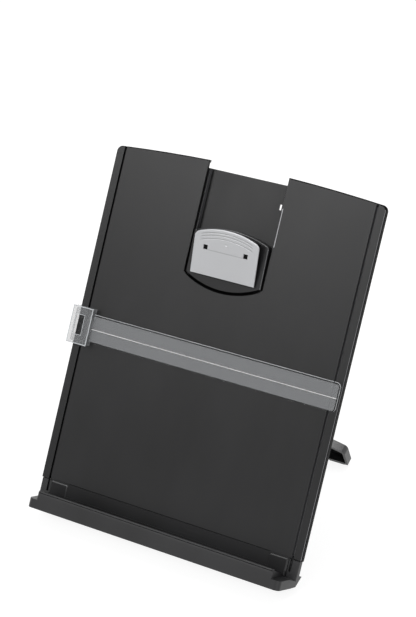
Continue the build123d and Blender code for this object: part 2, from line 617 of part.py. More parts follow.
def make_lever_body():
    """Dark carrier under the silver face: web, side cheeks and the two hinge knuckles."""
    depth = PLATE_THICK + LEVER_THICK
    web = on_lever(lever_outline(LEVER_INSET), depth, LEVER_THICK)
    top_n = LEVER_JAW_N - PLATE_THICK / cos(radians(LEVER_TILT))
    rise = tan(radians(LEVER_TILT))

    def under(v):
        return top_n + (v - LEVER_JAW_V) * rise

    v0 = LEVER_JAW_V + 1.6
    v1 = LEVER_JAW_V + 34.5
    swing = tan(radians(LEVER_TRAVEL + 4.5))
    cheek_face = polygon((pad_face(v0) + CHEEK_CLEAR, v0), (pad_face(PIVOT_V) + CHEEK_CLEAR, PIVOT_V),
                         (pad_face(PIVOT_V) + CHEEK_CLEAR + (v1 - PIVOT_V) * swing, v1),
                         (under(v1) - 0.4, v1), (under(v0) - 0.4, v0))
    cheek = bar(cheek_face, LEVER_HALF - LEVER_INSET - CHEEK_WALL, LEVER_HALF - LEVER_INSET)
    hinge = bar(make_face(Line((under(PIVOT_V + KNUCKLE_R) - 0.4, PIVOT_V + KNUCKLE_R),
                               (PIVOT_N, PIVOT_V + KNUCKLE_R))
                          + ThreePointArc((PIVOT_N, PIVOT_V + KNUCKLE_R), (PIVOT_N - KNUCKLE_R, PIVOT_V),
                                          (PIVOT_N, PIVOT_V - KNUCKLE_R))
                          + Line((PIVOT_N, PIVOT_V - KNUCKLE_R),
                                 (under(PIVOT_V - KNUCKLE_R) - 0.4, PIVOT_V - KNUCKLE_R))
                          + Line((under(PIVOT_V - KNUCKLE_R) - 0.4, PIVOT_V - KNUCKLE_R),
                                 (under(PIVOT_V + KNUCKLE_R) - 0.4, PIVOT_V + KNUCKLE_R))),
                KNUCKLE_IN, KNUCKLE_IN + KNUCKLE_WIDTH)
    lip = polygon((JAW_PAD_PROUD + pad_face(LEVER_JAW_V + 0.8) + 2 * TOUCH, LEVER_JAW_V + 0.8),
                  (under(LEVER_JAW_V + 0.8) - 0.3, LEVER_JAW_V + 0.8),
                  (under(LEVER_JAW_V + 2.6) - 0.3, LEVER_JAW_V + 2.6),
                  (JAW_PAD_PROUD + pad_face(LEVER_JAW_V + 2.6) + 2 * TOUCH, LEVER_JAW_V + 2.6))
    body = web + both(cheek) + both(hinge)
    body += bar(lip, -LEVER_HALF + LEVER_INSET + 0.4, LEVER_HALF - LEVER_INSET - 0.4)
    body -= rod(-PIN_HALF, PIN_HALF, PIVOT_N, PIVOT_V, PIN_D / 2 + RUN_CLEAR)
    return body


# ------------------------------------------------------------------ line guide
def make_guide_carrier():
    """Clear carrier that hooks round the board's left edge and runs in the rail groove."""
    v0, v1 = CARRIER_V
    left, right = -CARRIER_LEFT, -CARRIER_RIGHT
    cap = block(left, right, CARRIER_CLEAR, CARRIER_FRONT, v0, v1)
    cap = fillet(cap.edges().filter_by(Axis.Y), 0.8)
    hollow = block(-BOARD_HALF - CARRIER_CLEAR, right - CARRIER_WALL, 0,
                   CARRIER_FRONT - CARRIER_WALL, v0 + CARRIER_WALL, v1 - CARRIER_WALL)
    frame_right, frame_left, frame_below, frame_above = CARRIER_FRAME
    window = block(left + frame_left, right - frame_right, 0, CARRIER_FRONT + 1,
                   v0 + frame_below, v1 - frame_above)
    carrier = cap - hollow - window
    hook_front = -BOARD_THICK - CARRIER_CLEAR
    wall = block(left, -BOARD_HALF - CARRIER_CLEAR, hook_front - CARRIER_WALL, CARRIER_CLEAR + 1, v0, v1)
    hook = block(left, left + CARRIER_HOOK, hook_front - CARRIER_WALL, hook_front, v0, v1)
    carrier += wall + hook
    runner = block(-GROOVE_OUT + CARRIER_CLEAR, -GROOVE_IN - CARRIER_CLEAR,
                   -GROOVE_DEPTH + CARRIER_CLEAR, CARRIER_CLEAR, v0, v0 + CARRIER_WALL)
    top_runner = Pos(0, 0, v1 - v0 - CARRIER_WALL) * runner
    foot = block(-GROOVE_OUT + CARRIER_CLEAR, -GROOVE_IN - CARRIER_CLEAR, CARRIER_CLEAR, 2,
                 v0, v0 + CARRIER_WALL)
    carrier += runner + top_runner + foot
    tongue = block(-TONGUE_END, right + 1, RULER_N[0], RULER_N[1],
                   RULER_V[0] + TONGUE_INSET, RULER_V[1] - TONGUE_INSET)
    return carrier - tongue


def ruler_outline(inset=0.0):
    """Clear blade: square at the carrier, round corners at the free end."""
    v0, v1 = RULER_V
    face = rect(-CARRIER_RIGHT + 0.15, RULER_END - inset, v0 + inset, v1 - inset)
    corners = [p for p in face.vertices() if p.X > 0]
    return fillet(corners, RULER_CORNER - inset)


def make_guide_ruler():
    """Clear blade with a stepped rim, a tongue held by the carrier and a slot for the line."""
    n0, n1 = RULER_N
    blade = slab(ruler_outline(), n0, n1)
    blade -= slab(ruler_outline(RULER_RIM), n1 - RULER_STEP, n1)
    blade += block(-TONGUE_END, -CARRIER_RIGHT + 0.5, n0, n1,
                   RULER_V[0] + TONGUE_INSET, RULER_V[1] - TONGUE_INSET)
    return blade - line_strip()


def line_strip():
    n1 = RULER_N[1] - RULER_STEP
    return block(-CARRIER_RIGHT + 0.15, RULER_END - RULER_RIM, n1 - LINE_DEPTH, n1,
                 LINE_V - LINE_WIDTH / 2, LINE_V + LINE_WIDTH / 2)


def make_guide_line():
    """White reading line laid into the blade."""
    return line_strip()


# ------------------------------------------------------------------ ledge
def ledge_profile(shell=0.0):
    """Side profile of the ledge's low body: flat underside with a slanted heel."""
    rear_top = LEDGE_FLOOR - shell
    slant = (LEDGE_FLOOR - 0.3) / (LEDGE_HEEL - LEDGE_REAR)
    if shell == 0:
        return polygon((LEDGE_FRONT, 0), (LEDGE_FRONT, rear_top), (LEDGE_REAR, rear_top),
                       (LEDGE_REAR, LEDGE_FLOOR - 0.3), (LEDGE_HEEL, 0))
    rear = LEDGE_REAR + 2.5 * shell
    return polygon((LEDGE_FRONT - shell, -1), (LEDGE_FRONT - shell, rear_top), (rear, rear_top),
                   (rear, shell + (LEDGE_HEEL - rear) * slant), (LEDGE_HEEL + shell, shell),
                   (LEDGE_HEEL + 3 * shell, shell), (LEDGE_HEEL + 3 * shell, -1))


def ledge_plan():
    """Footprint of the ledge: its ends narrow a little towards the front."""
    back, front_end = LEDGE_HALF, LEDGE_HALF - LEDGE_TAPER
    outline = Polyline((-back, 30), (back, 30), (back, 0), (front_end, -LEDGE_FRONT),
                       (front_end, -LEDGE_FRONT - 1), (-front_end, -LEDGE_FRONT - 1),
                       (-front_end, -LEDGE_FRONT), (-back, 0), (-back, 30))
    return extrude(make_face(outline), LEDGE_FLOOR)


def ledge_lip():
    """Front lip: upright face that leans back above its fold, with a line under its crest."""
    face = polygon((LEDGE_FRONT - LEDGE_WALL, 1), (LEDGE_FRONT - LEDGE_WALL, LEDGE_LIP),
                   (LEDGE_FRONT - LIP_LEAN, LEDGE_LIP), (LEDGE_FRONT, LIP_FOLD), (LEDGE_FRONT, 1))
    lip = bar(face, -LIP_HALF, LIP_HALF)
    ends = [e for e in lip.edges() if abs(e.center().X) > LIP_HALF - 0.01
            and e.center().Y < LIP_LEAN - LEDGE_FRONT and 1.5 < e.center().Z < LEDGE_LIP - 0.1]
    lip = fillet(ends, 1.5)
    low, height, depth = LIP_GROOVE
    n = LEDGE_FRONT - LIP_LEAN * (low - LIP_FOLD) / (LEDGE_LIP - LIP_FOLD)
    return lip - block(-LIP_HALF, LIP_HALF, n - depth, LEDGE_FRONT + 1, low, low + height)


def make_ledge():
    """Paper ledge: front lip, end walls, tabs and ears that hold the board, ribbed underside."""
    base = bar(ledge_profile(), -LEDGE_HALF, LEDGE_HALF) & ledge_plan()
    uprights = [e for e in base.edges().filter_by(Axis.Z) if e.center().Y < -LEDGE_FRONT + 0.1]
    base = fillet(uprights, LEDGE_CORNER)
    inner = LEDGE_HALF - LEDGE_SHELL - LEDGE_TAPER
    base -= bar(ledge_profile(LEDGE_SHELL), -inner, inner)
    step = 2 * inner / (LEDGE_RIBS + 1)
    for count in range(1, LEDGE_RIBS + 1):
        x = -inner + count * step
        base += bar(ledge_profile(), x - RIB / 2, x + RIB / 2)
    gusset = bar(polygon((LEDGE_FRONT - 1, 1), (LEDGE_FRONT - 1, LEDGE_LIP - 0.6),
                         (BACK_LIP_WALL, GUSSET_LOW), (BACK_LIP_WALL, 6)),
                 LIP_HALF - GUSSET_WALL, LIP_HALF)
    back_lip = block(-TAB_X[1], TAB_X[1], FOOT_CLEAR, FOOT_CLEAR + BACK_LIP_WALL,
                     LEDGE_FLOOR - 1, BACK_LIP_TOP)
    back_plate = block(-TAB_X[1] + 2, TAB_X[1] - 2, FOOT_CLEAR, FOOT_CLEAR + BACK_PLATE_WALL,
                       LEDGE_FLOOR - 1, BACK_PLATE_TOP)
    tab = block(TAB_X[0], TAB_X[1], FOOT_CLEAR, TAB_FRONT, LEDGE_FLOOR - 1, TAB_TOP)
    tab = fillet([e for e in tab.edges().filter_by(Axis.Y) if e.center().Z > TAB_TOP - 1], 1.8)
    rim = [e for e in tab.edges() if e.center().Y < -TAB_FRONT + 0.01 and e.center().Z > LEDGE_FLOOR]
    tab = chamfer(rim, TAB_BREAK)
    stay = block(STAY_X[0], STAY_X[1], -BOARD_THICK - FOOT_CLEAR - LEDGE_WALL,
                 -BOARD_THICK - FOOT_CLEAR, LEDGE_FLOOR - 1, STAY_TOP)
    ear = block(EAR_IN, BOARD_HALF - EAR_DROP, -BOARD_THICK, 0, LEDGE_FLOOR - 1, EAR_TOP)
    ear = fillet([e for e in ear.edges().filter_by(Axis.Z) if e.center().X > BOARD_HALF - 2], EDGE_ROUND)
    ear -= block(GROOVE_IN, GROOVE_OUT, -GROOVE_DEPTH, 1, EAR_SLOT, EAR_TOP + 1)
    ledge = base + ledge_lip() + both(gusset) + back_lip + back_plate + both(tab) + both(stay) + both(ear)
    ledge -= both(base_foot_seat())
    return ledge


def base_foot_seat():
    """Shallow seat of a rubber foot in the ledge's slanted heel."""
    slant = atan2(LEDGE_FLOOR - 0.3, LEDGE_HEEL - LEDGE_REAR)
    nx, nv = sin(slant), cos(slant)
    near, far = BASE_FOOT_SPAN
    n0, v0 = LEDGE_HEEL - near * nv, near * nx
    n1, v1 = LEDGE_HEEL - far * nv, far * nx
    seat, deep = BASE_FOOT_SEAT, BASE_FOOT_DEEP
    return bar(polygon((n0 + seat * nx, v0 + seat * nv), (n1 + seat * nx, v1 + seat * nv),
                       (n1 - deep * nx, v1 - deep * nv), (n0 - deep * nx, v0 - deep * nv)), *BASE_FOOT_X)


def make_base_feet():
    """Two rubber wedges under the heel; their undersides are cut flat on the desk."""
    return [base_foot_seat(), mirror(base_foot_seat(), about=Plane.YZ)]


# ------------------------------------------------------------------ leg
def make_leg_bracket():
    """Hinge bracket on the rear spine, with two pairs of lugs."""
    plate = block(-BRACKET_HALF, BRACKET_HALF, BRACKET_BACK, BULGE_BACK, *BRACKET_V)
    plate = fillet(plate.edges().filter_by(Axis.Y), BRACKET_CORNER)
    k0, k1 = LEG_KNUCKLE
    lug_face = make_face(Line((BRACKET_BACK, HINGE_V + LUG_R), (HINGE_N, HINGE_V + LUG_R))
                         + ThreePointArc((HINGE_N, HINGE_V + LUG_R), (HINGE_N - LUG_R, HINGE_V),
                                         (HINGE_N, HINGE_V - LUG_R))
                         + Line((HINGE_N, HINGE_V - LUG_R), (BRACKET_BACK, HINGE_V - LUG_R))
                         + Line((BRACKET_BACK, HINGE_V - LUG_R), (BRACKET_BACK, HINGE_V + LUG_R)))
    outer = bar(lug_face, k1 + LUG_CLEAR, k1 + LUG_CLEAR + LUG_WIDTH)
    inner = bar(lug_face, k0 - LUG_CLEAR - LUG_WIDTH, k0 - LUG_CLEAR)
    bracket = plate + both(outer) + both(inner)
    reach = k1 + LUG_CLEAR + LUG_WIDTH
    bracket -= rod(-reach, reach, HINGE_N, HINGE_V, LEG_PIN_D / 2)
    for x, v in BRACKET_SCREWS:
        bracket -= peg(x, v, BRACKET_BACK - 1, BULGE_BACK + 1, SCREW_D / 2 + SCREW_CLEAR)
    return bracket


def make_bracket_screws():
    """Pan-headed screws of the hinge bracket."""
    screws = []
    for x, v in BRACKET_SCREWS:
        head = peg(x, v, BRACKET_BACK - SCREW_HEAD, BRACKET_BACK, SCREW_HEAD_D / 2)
        screws.append(head + peg(x, v, BRACKET_BACK, BULGE_BACK + BULGE_SKIN - 0.4, SCREW_D / 2 - 0.05))
    return screws


def make_leg_pins():
    """Two steel pins, one through each pair of lugs."""
    k0, k1 = LEG_KNUCKLE
    x0 = k0 - LUG_CLEAR - LUG_WIDTH
    x1 = k1 + LUG_CLEAR + LUG_WIDTH
    pin = rod(x0, x1, HINGE_N, HINGE_V, LEG_PIN_D / 2)
    return [pin, mirror(pin, about=Plane.YZ)]


def leg_outline(inset=0.0):
    """Folded leg: narrow column flaring into a wide foot bar with an arched top."""
    sole = HINGE_V - LEG_REACH + LEG_FOOT_PROUD
    foot = sole + inset if inset else sole - LEG_HEEL
    top = HINGE_V - LEG_TOP - inset
    column = LEG_COLUMN - inset
    bar_half = LEG_BAR_HALF - inset
    sole_half = bar_half + LEG_SPLAY
    radius = LEG_ARCH_R - inset
    centre = sole + LEG_BAR + LEG_ARCH - LEG_ARCH_R

    def arch(x):
        return centre + sqrt(radius ** 2 - x ** 2)

    bar_face = make_face(ThreePointArc((-bar_half, arch(bar_half)), (0, arch(0)), (bar_half, arch(bar_half)))
                         + Polyline((bar_half, arch(bar_half)), (sole_half, foot), (-sole_half, foot),
                                    (-bar_half, arch(bar_half))))
    face = bar_face + rect(-column, column, foot + 1, top)
    crotch = [p for p in face.vertices() if abs(abs(p.X) - column) < 0.01 and p.Y < top - 1]
    face = fillet(crotch, LEG_FLARE + inset)
    ends = [p for p in face.vertices() if abs(p.X) > bar_half - 0.01 and p.Y > foot + 1]
    face = fillet(ends, LEG_BAR_CORNER - inset)
    low = [p for p in face.vertices() if abs(p.X) > bar_half - 0.01 and p.Y < foot + 0.01]
    return fillet(low, max(LEG_BAR_TOE - inset, 0.3))


def make_leg_folded():
    """Easel leg, drawn folded flat: open-backed shell with ribs, knuckles and stop heels."""
    outer_n = HINGE_N - LEG_OUTER
    inner_n = HINGE_N - LEG_INNER
    leg = slab(leg_outline(), outer_n, inner_n)
    leg = chamfer(leg.edges().filter_by_position(Axis.Y, -outer_n - 0.01, -outer_n + 0.01), LEG_BREAK)
    leg -= slab(leg_outline(LEG_WALL), outer_n + LEG_WALL, inner_n)
    foot = HINGE_V - LEG_REACH + LEG_FOOT_PROUD
    sole = polygon((inner_n + 1, foot), (inner_n, foot), (outer_n, foot - LEG_HEEL),
                   (outer_n - 1, foot - LEG_HEEL), (outer_n - 1, foot - 9), (inner_n + 1, foot - 9))
    leg -= bar(sole, -LEG_BAR_HALF - 9, LEG_BAR_HALF + 9)
    for x in (-12.0, 12.0):
        leg += block(x - RIB / 2, x + RIB / 2, outer_n + 1, inner_n - 1.2, foot + 1, HINGE_V - LEG_TOP - 1)
    for level in (0.24, 0.44, 0.64, 0.84):
        v = foot + level * (HINGE_V - foot)
        leg += block(-LEG_COLUMN + 1, LEG_COLUMN - 1, outer_n + 1, inner_n - 1.2, v - RIB / 2, v + RIB / 2)
    for x in (40.0, 62.0):
        leg += both(block(x - RIB / 2, x + RIB / 2, outer_n + 1, inner_n - 2.5,
                          foot + 1, foot + LEG_BAR + 2))
    k0, k1 = LEG_KNUCKLE
    knuckle = rod(k0, k1, HINGE_N, HINGE_V, LEG_KNUCKLE_R)
    knuckle += block(k0, k1, HINGE_N - LEG_KNUCKLE_R, HINGE_N + 3.2, HINGE_V - LEG_TOP - 2, HINGE_V)
    leg += both(knuckle)
    leg += both(stop_heel(k0, k1))
    leg -= rod(-k1, k1, HINGE_N, HINGE_V, LEG_PIN_D / 2 + RUN_CLEAR)
    leg -= both(leg_foot_block(foot - 9))
    return leg


def leg_foot_block(low):
    """The rubber pad's block under the foot bar, from the given height up into its seat."""
    foot = HINGE_V - LEG_REACH + LEG_FOOT_PROUD
    near = HINGE_N - LEG_INNER - LEG_FOOT_NEAR
    return block(LEG_FOOT_X[0], LEG_FOOT_X[1], near - LEG_FOOT_DEEP, near, low, foot + LEG_FOOT_SEAT)


def stop_heel(x0, x1):
    """Heel above the knuckle that meets the bracket when the leg is fully open."""
    gap = HINGE_N - BRACKET_BACK + 0.3
    swing = radians(LEG_ANGLE)
    depth = -gap

    def folded(n, v):
        """Where a point of the open leg lies when the leg is folded."""
        back = -n
        return (-(back * cos(swing) + v * sin(swing)) + HINGE_N,
                -back * sin(swing) + v * cos(swing) + HINGE_V)

    face = polygon(folded(depth, 1.0), folded(depth, 6.0), folded(depth - HEEL_WIDTH, 6.0),
                   folded(-2.0, 1.0))
    return bar(face, x0, x1)


def make_leg_feet_folded():
    """Two rubber pads under the foot bar; their undersides are cut flat on the desk."""
    pad = leg_foot_block(LEG_FOOT_V - BASE_FOOT_DEEP)
    return [pad, mirror(pad, about=Plane.YZ)]


# ------------------------------------------------------------------ assembly
def open_leg(shape):
    """Swing a folded leg piece to its standing position."""
    return shape.rotate(Axis((0, -HINGE_N, HINGE_V), (1, 0, 0)), LEG_ANGLE)


def lean(shape):
    """Lean a piece back and stand it on the desk at height zero."""
    return Pos(0, 0, -DESK) * Rot(X=-LEAN) * shape


def on_desk(shape):
    """Cut a rubber foot flat where it meets the desk."""
    return shape - Pos(0, 0, -50) * Box(1000, 1000, 100)


def gather(shapes):
    return Compound(children=[s.solid() if hasattr(s, "solid") else s for s in shapes])


def make_parts():
    parts = {
        "front_panel": lean(make_front_panel()),
        "rear_cover": lean(make_rear_cover()),
        "cover_screws": [lean(s) for s in make_cover_screws()],
        "arm_track": lean(make_arm_track()),
        "ledge": lean(make_ledge()),
        "base_feet": [on_desk(lean(s)) for s in make_base_feet()],
        "leg_bracket": lean(make_leg_bracket()),
        "bracket_screws": [lean(s) for s in make_bracket_screws()],
        "leg_hinge_pins": [lean(s) for s in make_leg_pins()],
        "clip_arm": lean(make_clip_arm()),
        "clip_pivot_pin": lean(make_pivot_pin()),
        "clip_spring": lean(make_clip_spring()),
        "jaw_pad": lean(make_jaw_pad()),
        "arm_drag_spring": lean(make_drag_spring()),
        "lever_body": lean(make_lever_body()),
        "lever_plate": lean(make_lever_plate()),
        "guide_carrier": lean(make_guide_carrier()),
        "guide_ruler": lean(make_guide_ruler()),
        "guide_line": lean(make_guide_line()),
        "leg": lean(open_leg(make_leg_folded())),
        "leg_feet": [on_desk(lean(open_leg(s))) for s in make_leg_feet_folded()],
    }
    return parts


def main():
    os.makedirs("parts", exist_ok=True)
    parts = {name: gather(p) if isinstance(p, list) else p for name, p in make_parts().items()}
    boxes = [p.bounding_box() for p in parts.values()]
    low = [min(getattr(b.min, k) for b in boxes) for k in "XYZ"]
    high = [max(getattr(b.max, k) for b in boxes) for k in "XYZ"]
    shift = Pos(-(low[0] + high[0]) / 2, -(low[1] + high[1]) / 2, -low[2])
    for name, piece in parts.items():
        export_step(shift * piece, f"parts/{name}.step")

    def spot(n, v):
        point = (shift * Pos(0, 0, -DESK) * Rot(X=-LEAN) * Pos(0, -n, v)).position
        return [round(c / 1000, 5) for c in point]

    print("size", [round(h - l, 2) for l, h in zip(low, high)], "leg opens", round(LEG_ANGLE, 2))
    print("board origin", spot(0, 0), "lever pivot", spot(PIVOT_N, PIVOT_V))
    print("leg hinge", spot(HINGE_N, HINGE_V), "up the board", round(sin(SLOPE), 6), round(cos(SLOPE), 6))


main()
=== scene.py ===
"""Finishes for a desk copy holder with a sliding line guide, laid out as a Blender add-on."""

import json
from functools import cache, partial
from math import asin, atan2, cos, hypot, pi, radians, sin, tan

import bmesh
import bpy
import numpy as np
from bpy.props import FloatProperty, FloatVectorProperty, IntProperty, PointerProperty
from bpy.types import NodeSocket, Operator, Panel, PropertyGroup
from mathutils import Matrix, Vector


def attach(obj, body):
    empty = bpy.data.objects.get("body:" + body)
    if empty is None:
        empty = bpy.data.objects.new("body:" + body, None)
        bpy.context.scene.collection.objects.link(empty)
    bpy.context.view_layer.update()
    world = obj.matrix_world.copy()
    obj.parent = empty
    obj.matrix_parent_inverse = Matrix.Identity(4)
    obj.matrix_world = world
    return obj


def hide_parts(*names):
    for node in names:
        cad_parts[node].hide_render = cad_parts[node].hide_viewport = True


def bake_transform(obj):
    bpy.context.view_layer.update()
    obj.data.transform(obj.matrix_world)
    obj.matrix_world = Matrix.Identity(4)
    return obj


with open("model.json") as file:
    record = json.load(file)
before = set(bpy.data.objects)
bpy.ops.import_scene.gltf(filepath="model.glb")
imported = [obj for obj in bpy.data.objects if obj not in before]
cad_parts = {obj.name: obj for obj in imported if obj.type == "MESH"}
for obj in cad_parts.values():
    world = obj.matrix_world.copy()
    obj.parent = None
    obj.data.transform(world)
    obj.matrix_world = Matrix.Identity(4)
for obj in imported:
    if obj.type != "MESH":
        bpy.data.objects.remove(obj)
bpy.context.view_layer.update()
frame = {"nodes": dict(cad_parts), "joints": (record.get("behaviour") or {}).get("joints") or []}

bl_info = {
    "name": "Copy holder finishes",
    "version": (1, 0, 0),
    "blender": (4, 5, 0),
    "location": "View3D > Sidebar > Copy holder",
    "description": "Plastics, metals and fine pieces of a leaning copy holder with a line guide",
    "category": "Object",
}

MM = 0.001

# The board leans back; its own frame has x across, n out of its face and v up its length.
LEAN = radians(28.5)
PIVOT_AT = (2.6 * MM, 241.5 * MM)               # n and v of the lever's pin
PIVOT = next(joint["pos_m"] for joint in frame["joints"] if joint["name"] == "clip_lever_hinge")
ORIGIN = (
    PIVOT[0],
    PIVOT[1] - PIVOT_AT[1] * sin(LEAN) + PIVOT_AT[0] * cos(LEAN),
    PIVOT[2] - PIVOT_AT[1] * cos(LEAN) - PIVOT_AT[0] * sin(LEAN),
)

# Places on the board, in its own frame.
BOARD_HALF = 120.0 * MM
BOARD_CROWN = 310.2 * MM
BOARD_BACK = -6.2 * MM
BAY_CENTRE = 278.7 * MM         # v of the centre that the bay's curved end and the pad's foot share
BAY_RADIUS = 69.8 * MM
PAD_RADIUS = 68.8 * MM
PAD_HALF = 33.5 * MM
ARM_FACE = -2.2 * MM
POCKET_FLOOR = -1.4 * MM
PLATE_TOP = 23.2 * MM           # upper edge of the ledge's thin plate over the board's foot

# The clip's lever: its gripping edge, its tilt against the board, and its silver face.
LEVER_TILT = radians(12.0)
LEVER_FOOT = (3.0 * MM, 219.3 * MM)             # n and v of the gripping edge
LEVER_HALF = 28.7 * MM
LEVER_CROWN = 39.4 * MM
LEVER_SHOULDER = 33.2 * MM
LEVER_CORNER = 3.0 * MM
LEVER_WALL = 1.25 * MM
PLATE_THICK = 1.0 * MM
HOLE_HALF = 1.9 * MM
HOLE_X = 17.9 * MM
HOLE_S = (PIVOT_AT[1] - LEVER_FOOT[1]) / cos(LEVER_TILT)
ARCH_RISE = LEVER_CROWN - LEVER_SHOULDER
ARCH_RADIUS = (LEVER_HALF**2 + ARCH_RISE**2) / (2 * ARCH_RISE)
GRIP_DROPS = (2.9 * MM, 5.0 * MM, 7.6 * MM)     # grip grooves below the thumb edge
GRIP_WIDTH = 0.34 * MM
FOLD_S = HOLE_S - 1.75 * MM                     # fold line between the two windows
DIMPLE_S = HOLE_S + 4.9 * MM

# The line guide: the carrier and its window as boxes (x, x, v, v), and the blade.
CARRIER_BOX = (-122.6 * MM, -103.8 * MM, 138.2 * MM, 169.3 * MM)
WINDOW_BOX = (-118.6 * MM, -110.6 * MM, 146.0 * MM, 162.4 * MM)
CARRIER_FRONT = 7.2 * MM
BLADE_END = 119.3 * MM
BLADE_MIDDLE = 153.15 * MM
BLADE_HALF = 12.15 * MM
BLADE_CORNER = 4.0 * MM
BAND_FACE = 3.4 * MM            # n of the blade's matt band
LINE_V = 152.6 * MM

# Screw heads: places as (x, v).
HEAD_RADIUS = 2.7 * MM
SHANK_RADIUS = 1.4 * MM
SHANK_DEPTH = 1.5 * MM
CROSS_DEPTH = 0.75 * MM
COVER_SCREWS = [(x, v) for x in (20.0 * MM - BOARD_HALF, BOARD_HALF - 20.0 * MM)
                for v in (40.0 * MM, BOARD_CROWN - 22.0 * MM)]
COVER_SEAT = BOARD_BACK + 1.3 * MM
BRACKET_SCREWS = [(x * MM, v * MM) for x in (-34.0, 34.0) for v in (195.0, 219.0)]
BRACKET_BACK = -12.0 * MM

# Finishes that several materials share.
POLISHED = {"relief": 0.05, "rough": (0.22, 0.3), "gloss": 0.6}
GLEAMING = {**POLISHED, "spread": 0.1, "grain": 1500.0, "scuffs": 0.0}
SHADOWED = {"relief": 0.1, "rough": (0.7, 0.8), "scuffs": 0.0, "gloss": 0.03}


def on_board(x, n, v):
    """Points of the board's own frame, turned back by the lean and put on the desk."""
    x, n, v = np.broadcast_arrays(x, n, v)
    y, z = v * sin(LEAN) - n * cos(LEAN), v * cos(LEAN) + n * sin(LEAN)
    return np.stack([x + ORIGIN[0], y + ORIGIN[1], z + ORIGIN[2]], axis=-1)


def board_parts(x, y, z):
    """The parts of a direction along the board's own x, n and v."""
    return x, z * sin(LEAN) - y * cos(LEAN), y * sin(LEAN) + z * cos(LEAN)


def board_place(x, y, z):
    """The (x, n, v) of a point, in the board's own frame."""
    return board_parts(x - ORIGIN[0], y - ORIGIN[1], z - ORIGIN[2])


# ---- mesh making
def new_mesh(name, points, faces):
    """A mesh from an (n, 3) array and a list of face arrays."""
    mesh = bpy.data.meshes.new(name)
    mesh.from_pydata(points.tolist(), [], [face for block in faces for face in block.tolist()])
    return mesh


def new_object(name, data):
    """An object for a mesh, lamp or camera, linked into the scene."""
    thing = bpy.data.objects.new(name, data)
    bpy.context.scene.collection.objects.link(thing)
    return thing


def make_piece(name, points, faces, body, material, sharp=35.0):
    """A smooth piece at the origin, sharp where its faces turn more than the given angle.

    With no body it rides on nothing.
    """
    mesh = new_mesh(name, points, faces)
    mesh.validate()
    mesh.shade_smooth()
    mesh.set_sharp_from_angle(angle=radians(sharp))
    mesh.materials.append(material)
    piece = new_object(name, mesh)
    if body:
        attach(piece, body)
    return piece


def grid_quads(rows, columns, close=False):
    """Corner numbers of the quads between rows of points; close joins the last column to the first."""
    i = np.arange(rows - 1)[:, None] * columns
    j = np.arange(columns if close else columns - 1)[None, :]
    k = (j + 1) % columns
    return np.stack([i + j, i + k, i + columns + k, i + columns + j], axis=-1).reshape(-1, 4)


def fan(ring, centre, flip=False):
    """Triangles from a centre point to a ring of points."""
    middle, after = np.full_like(ring, centre), np.roll(ring, -1)
    return np.stack([middle, after, ring] if flip else [middle, ring, after], axis=-1)


def step_up(t, low, high):
    """0 below low, 1 above high, and a smooth cubic between."""
    t = np.clip((t - low) / (high - low), 0, 1)
    return t * t * (3 - 2 * t)


def stretches(stops, counts):
    """Even steps from stop to stop, the given number in each stretch, without the last stop."""
    return np.concatenate([
        np.linspace(start, end, count, endpoint=False)
        for start, end, count in zip(stops, stops[1:], counts)
    ])


def slab_with_holes(x_lines, s_of, rows, height, thick, holes, place):
    """A thin plate with windows.

    Points run along x_lines and rows; s_of(x, row) gives the place along the plate and
    height(x, s) the relief of its face. The back is the same grid lowered by thick. Cells
    whose middle lies in a hole are left out, and each open edge gets a wall down to the back.
    """
    x, row = np.meshgrid(x_lines, rows)
    s = s_of(x, row)
    face = place(x, s, height(x, s))
    back = place(x, s, np.full_like(x, -thick))
    total = x.size
    number = np.arange(total).reshape(x.shape)
    x_mid = (x[:-1, :-1] + x[1:, 1:]) / 2
    s_mid = (s[:-1, :-1] + s[1:, 1:]) / 2
    keep = np.ones(x_mid.shape, bool)
    for x0, x1, s0, s1 in holes:
        keep &= ~((x_mid > x0) & (x_mid < x1) & (s_mid > s0) & (s_mid < s1))
    a, b = number[:-1, :-1][keep], number[:-1, 1:][keep]
    c, d = number[1:, 1:][keep], number[1:, :-1][keep]
    faces = [np.stack([a, b, c, d], -1), np.stack([d, c, b, a], -1) + total]
    padded = np.pad(keep, 1)
    sides = (
        (padded[:-2, 1:-1], number[:-1, :-1], number[:-1, 1:]),
        (padded[2:, 1:-1], number[1:, 1:], number[1:, :-1]),
        (padded[1:-1, :-2], number[1:, :-1], number[:-1, :-1]),
        (padded[1:-1, 2:], number[:-1, 1:], number[1:, 1:]),
    )
    for beside, first, second in sides:
        edge = keep & ~beside
        p, q = first[edge], second[edge]
        faces.append(np.stack([q, p, p + total, q + total], -1))
    return np.concatenate([face.reshape(-1, 3), back.reshape(-1, 3)]), faces


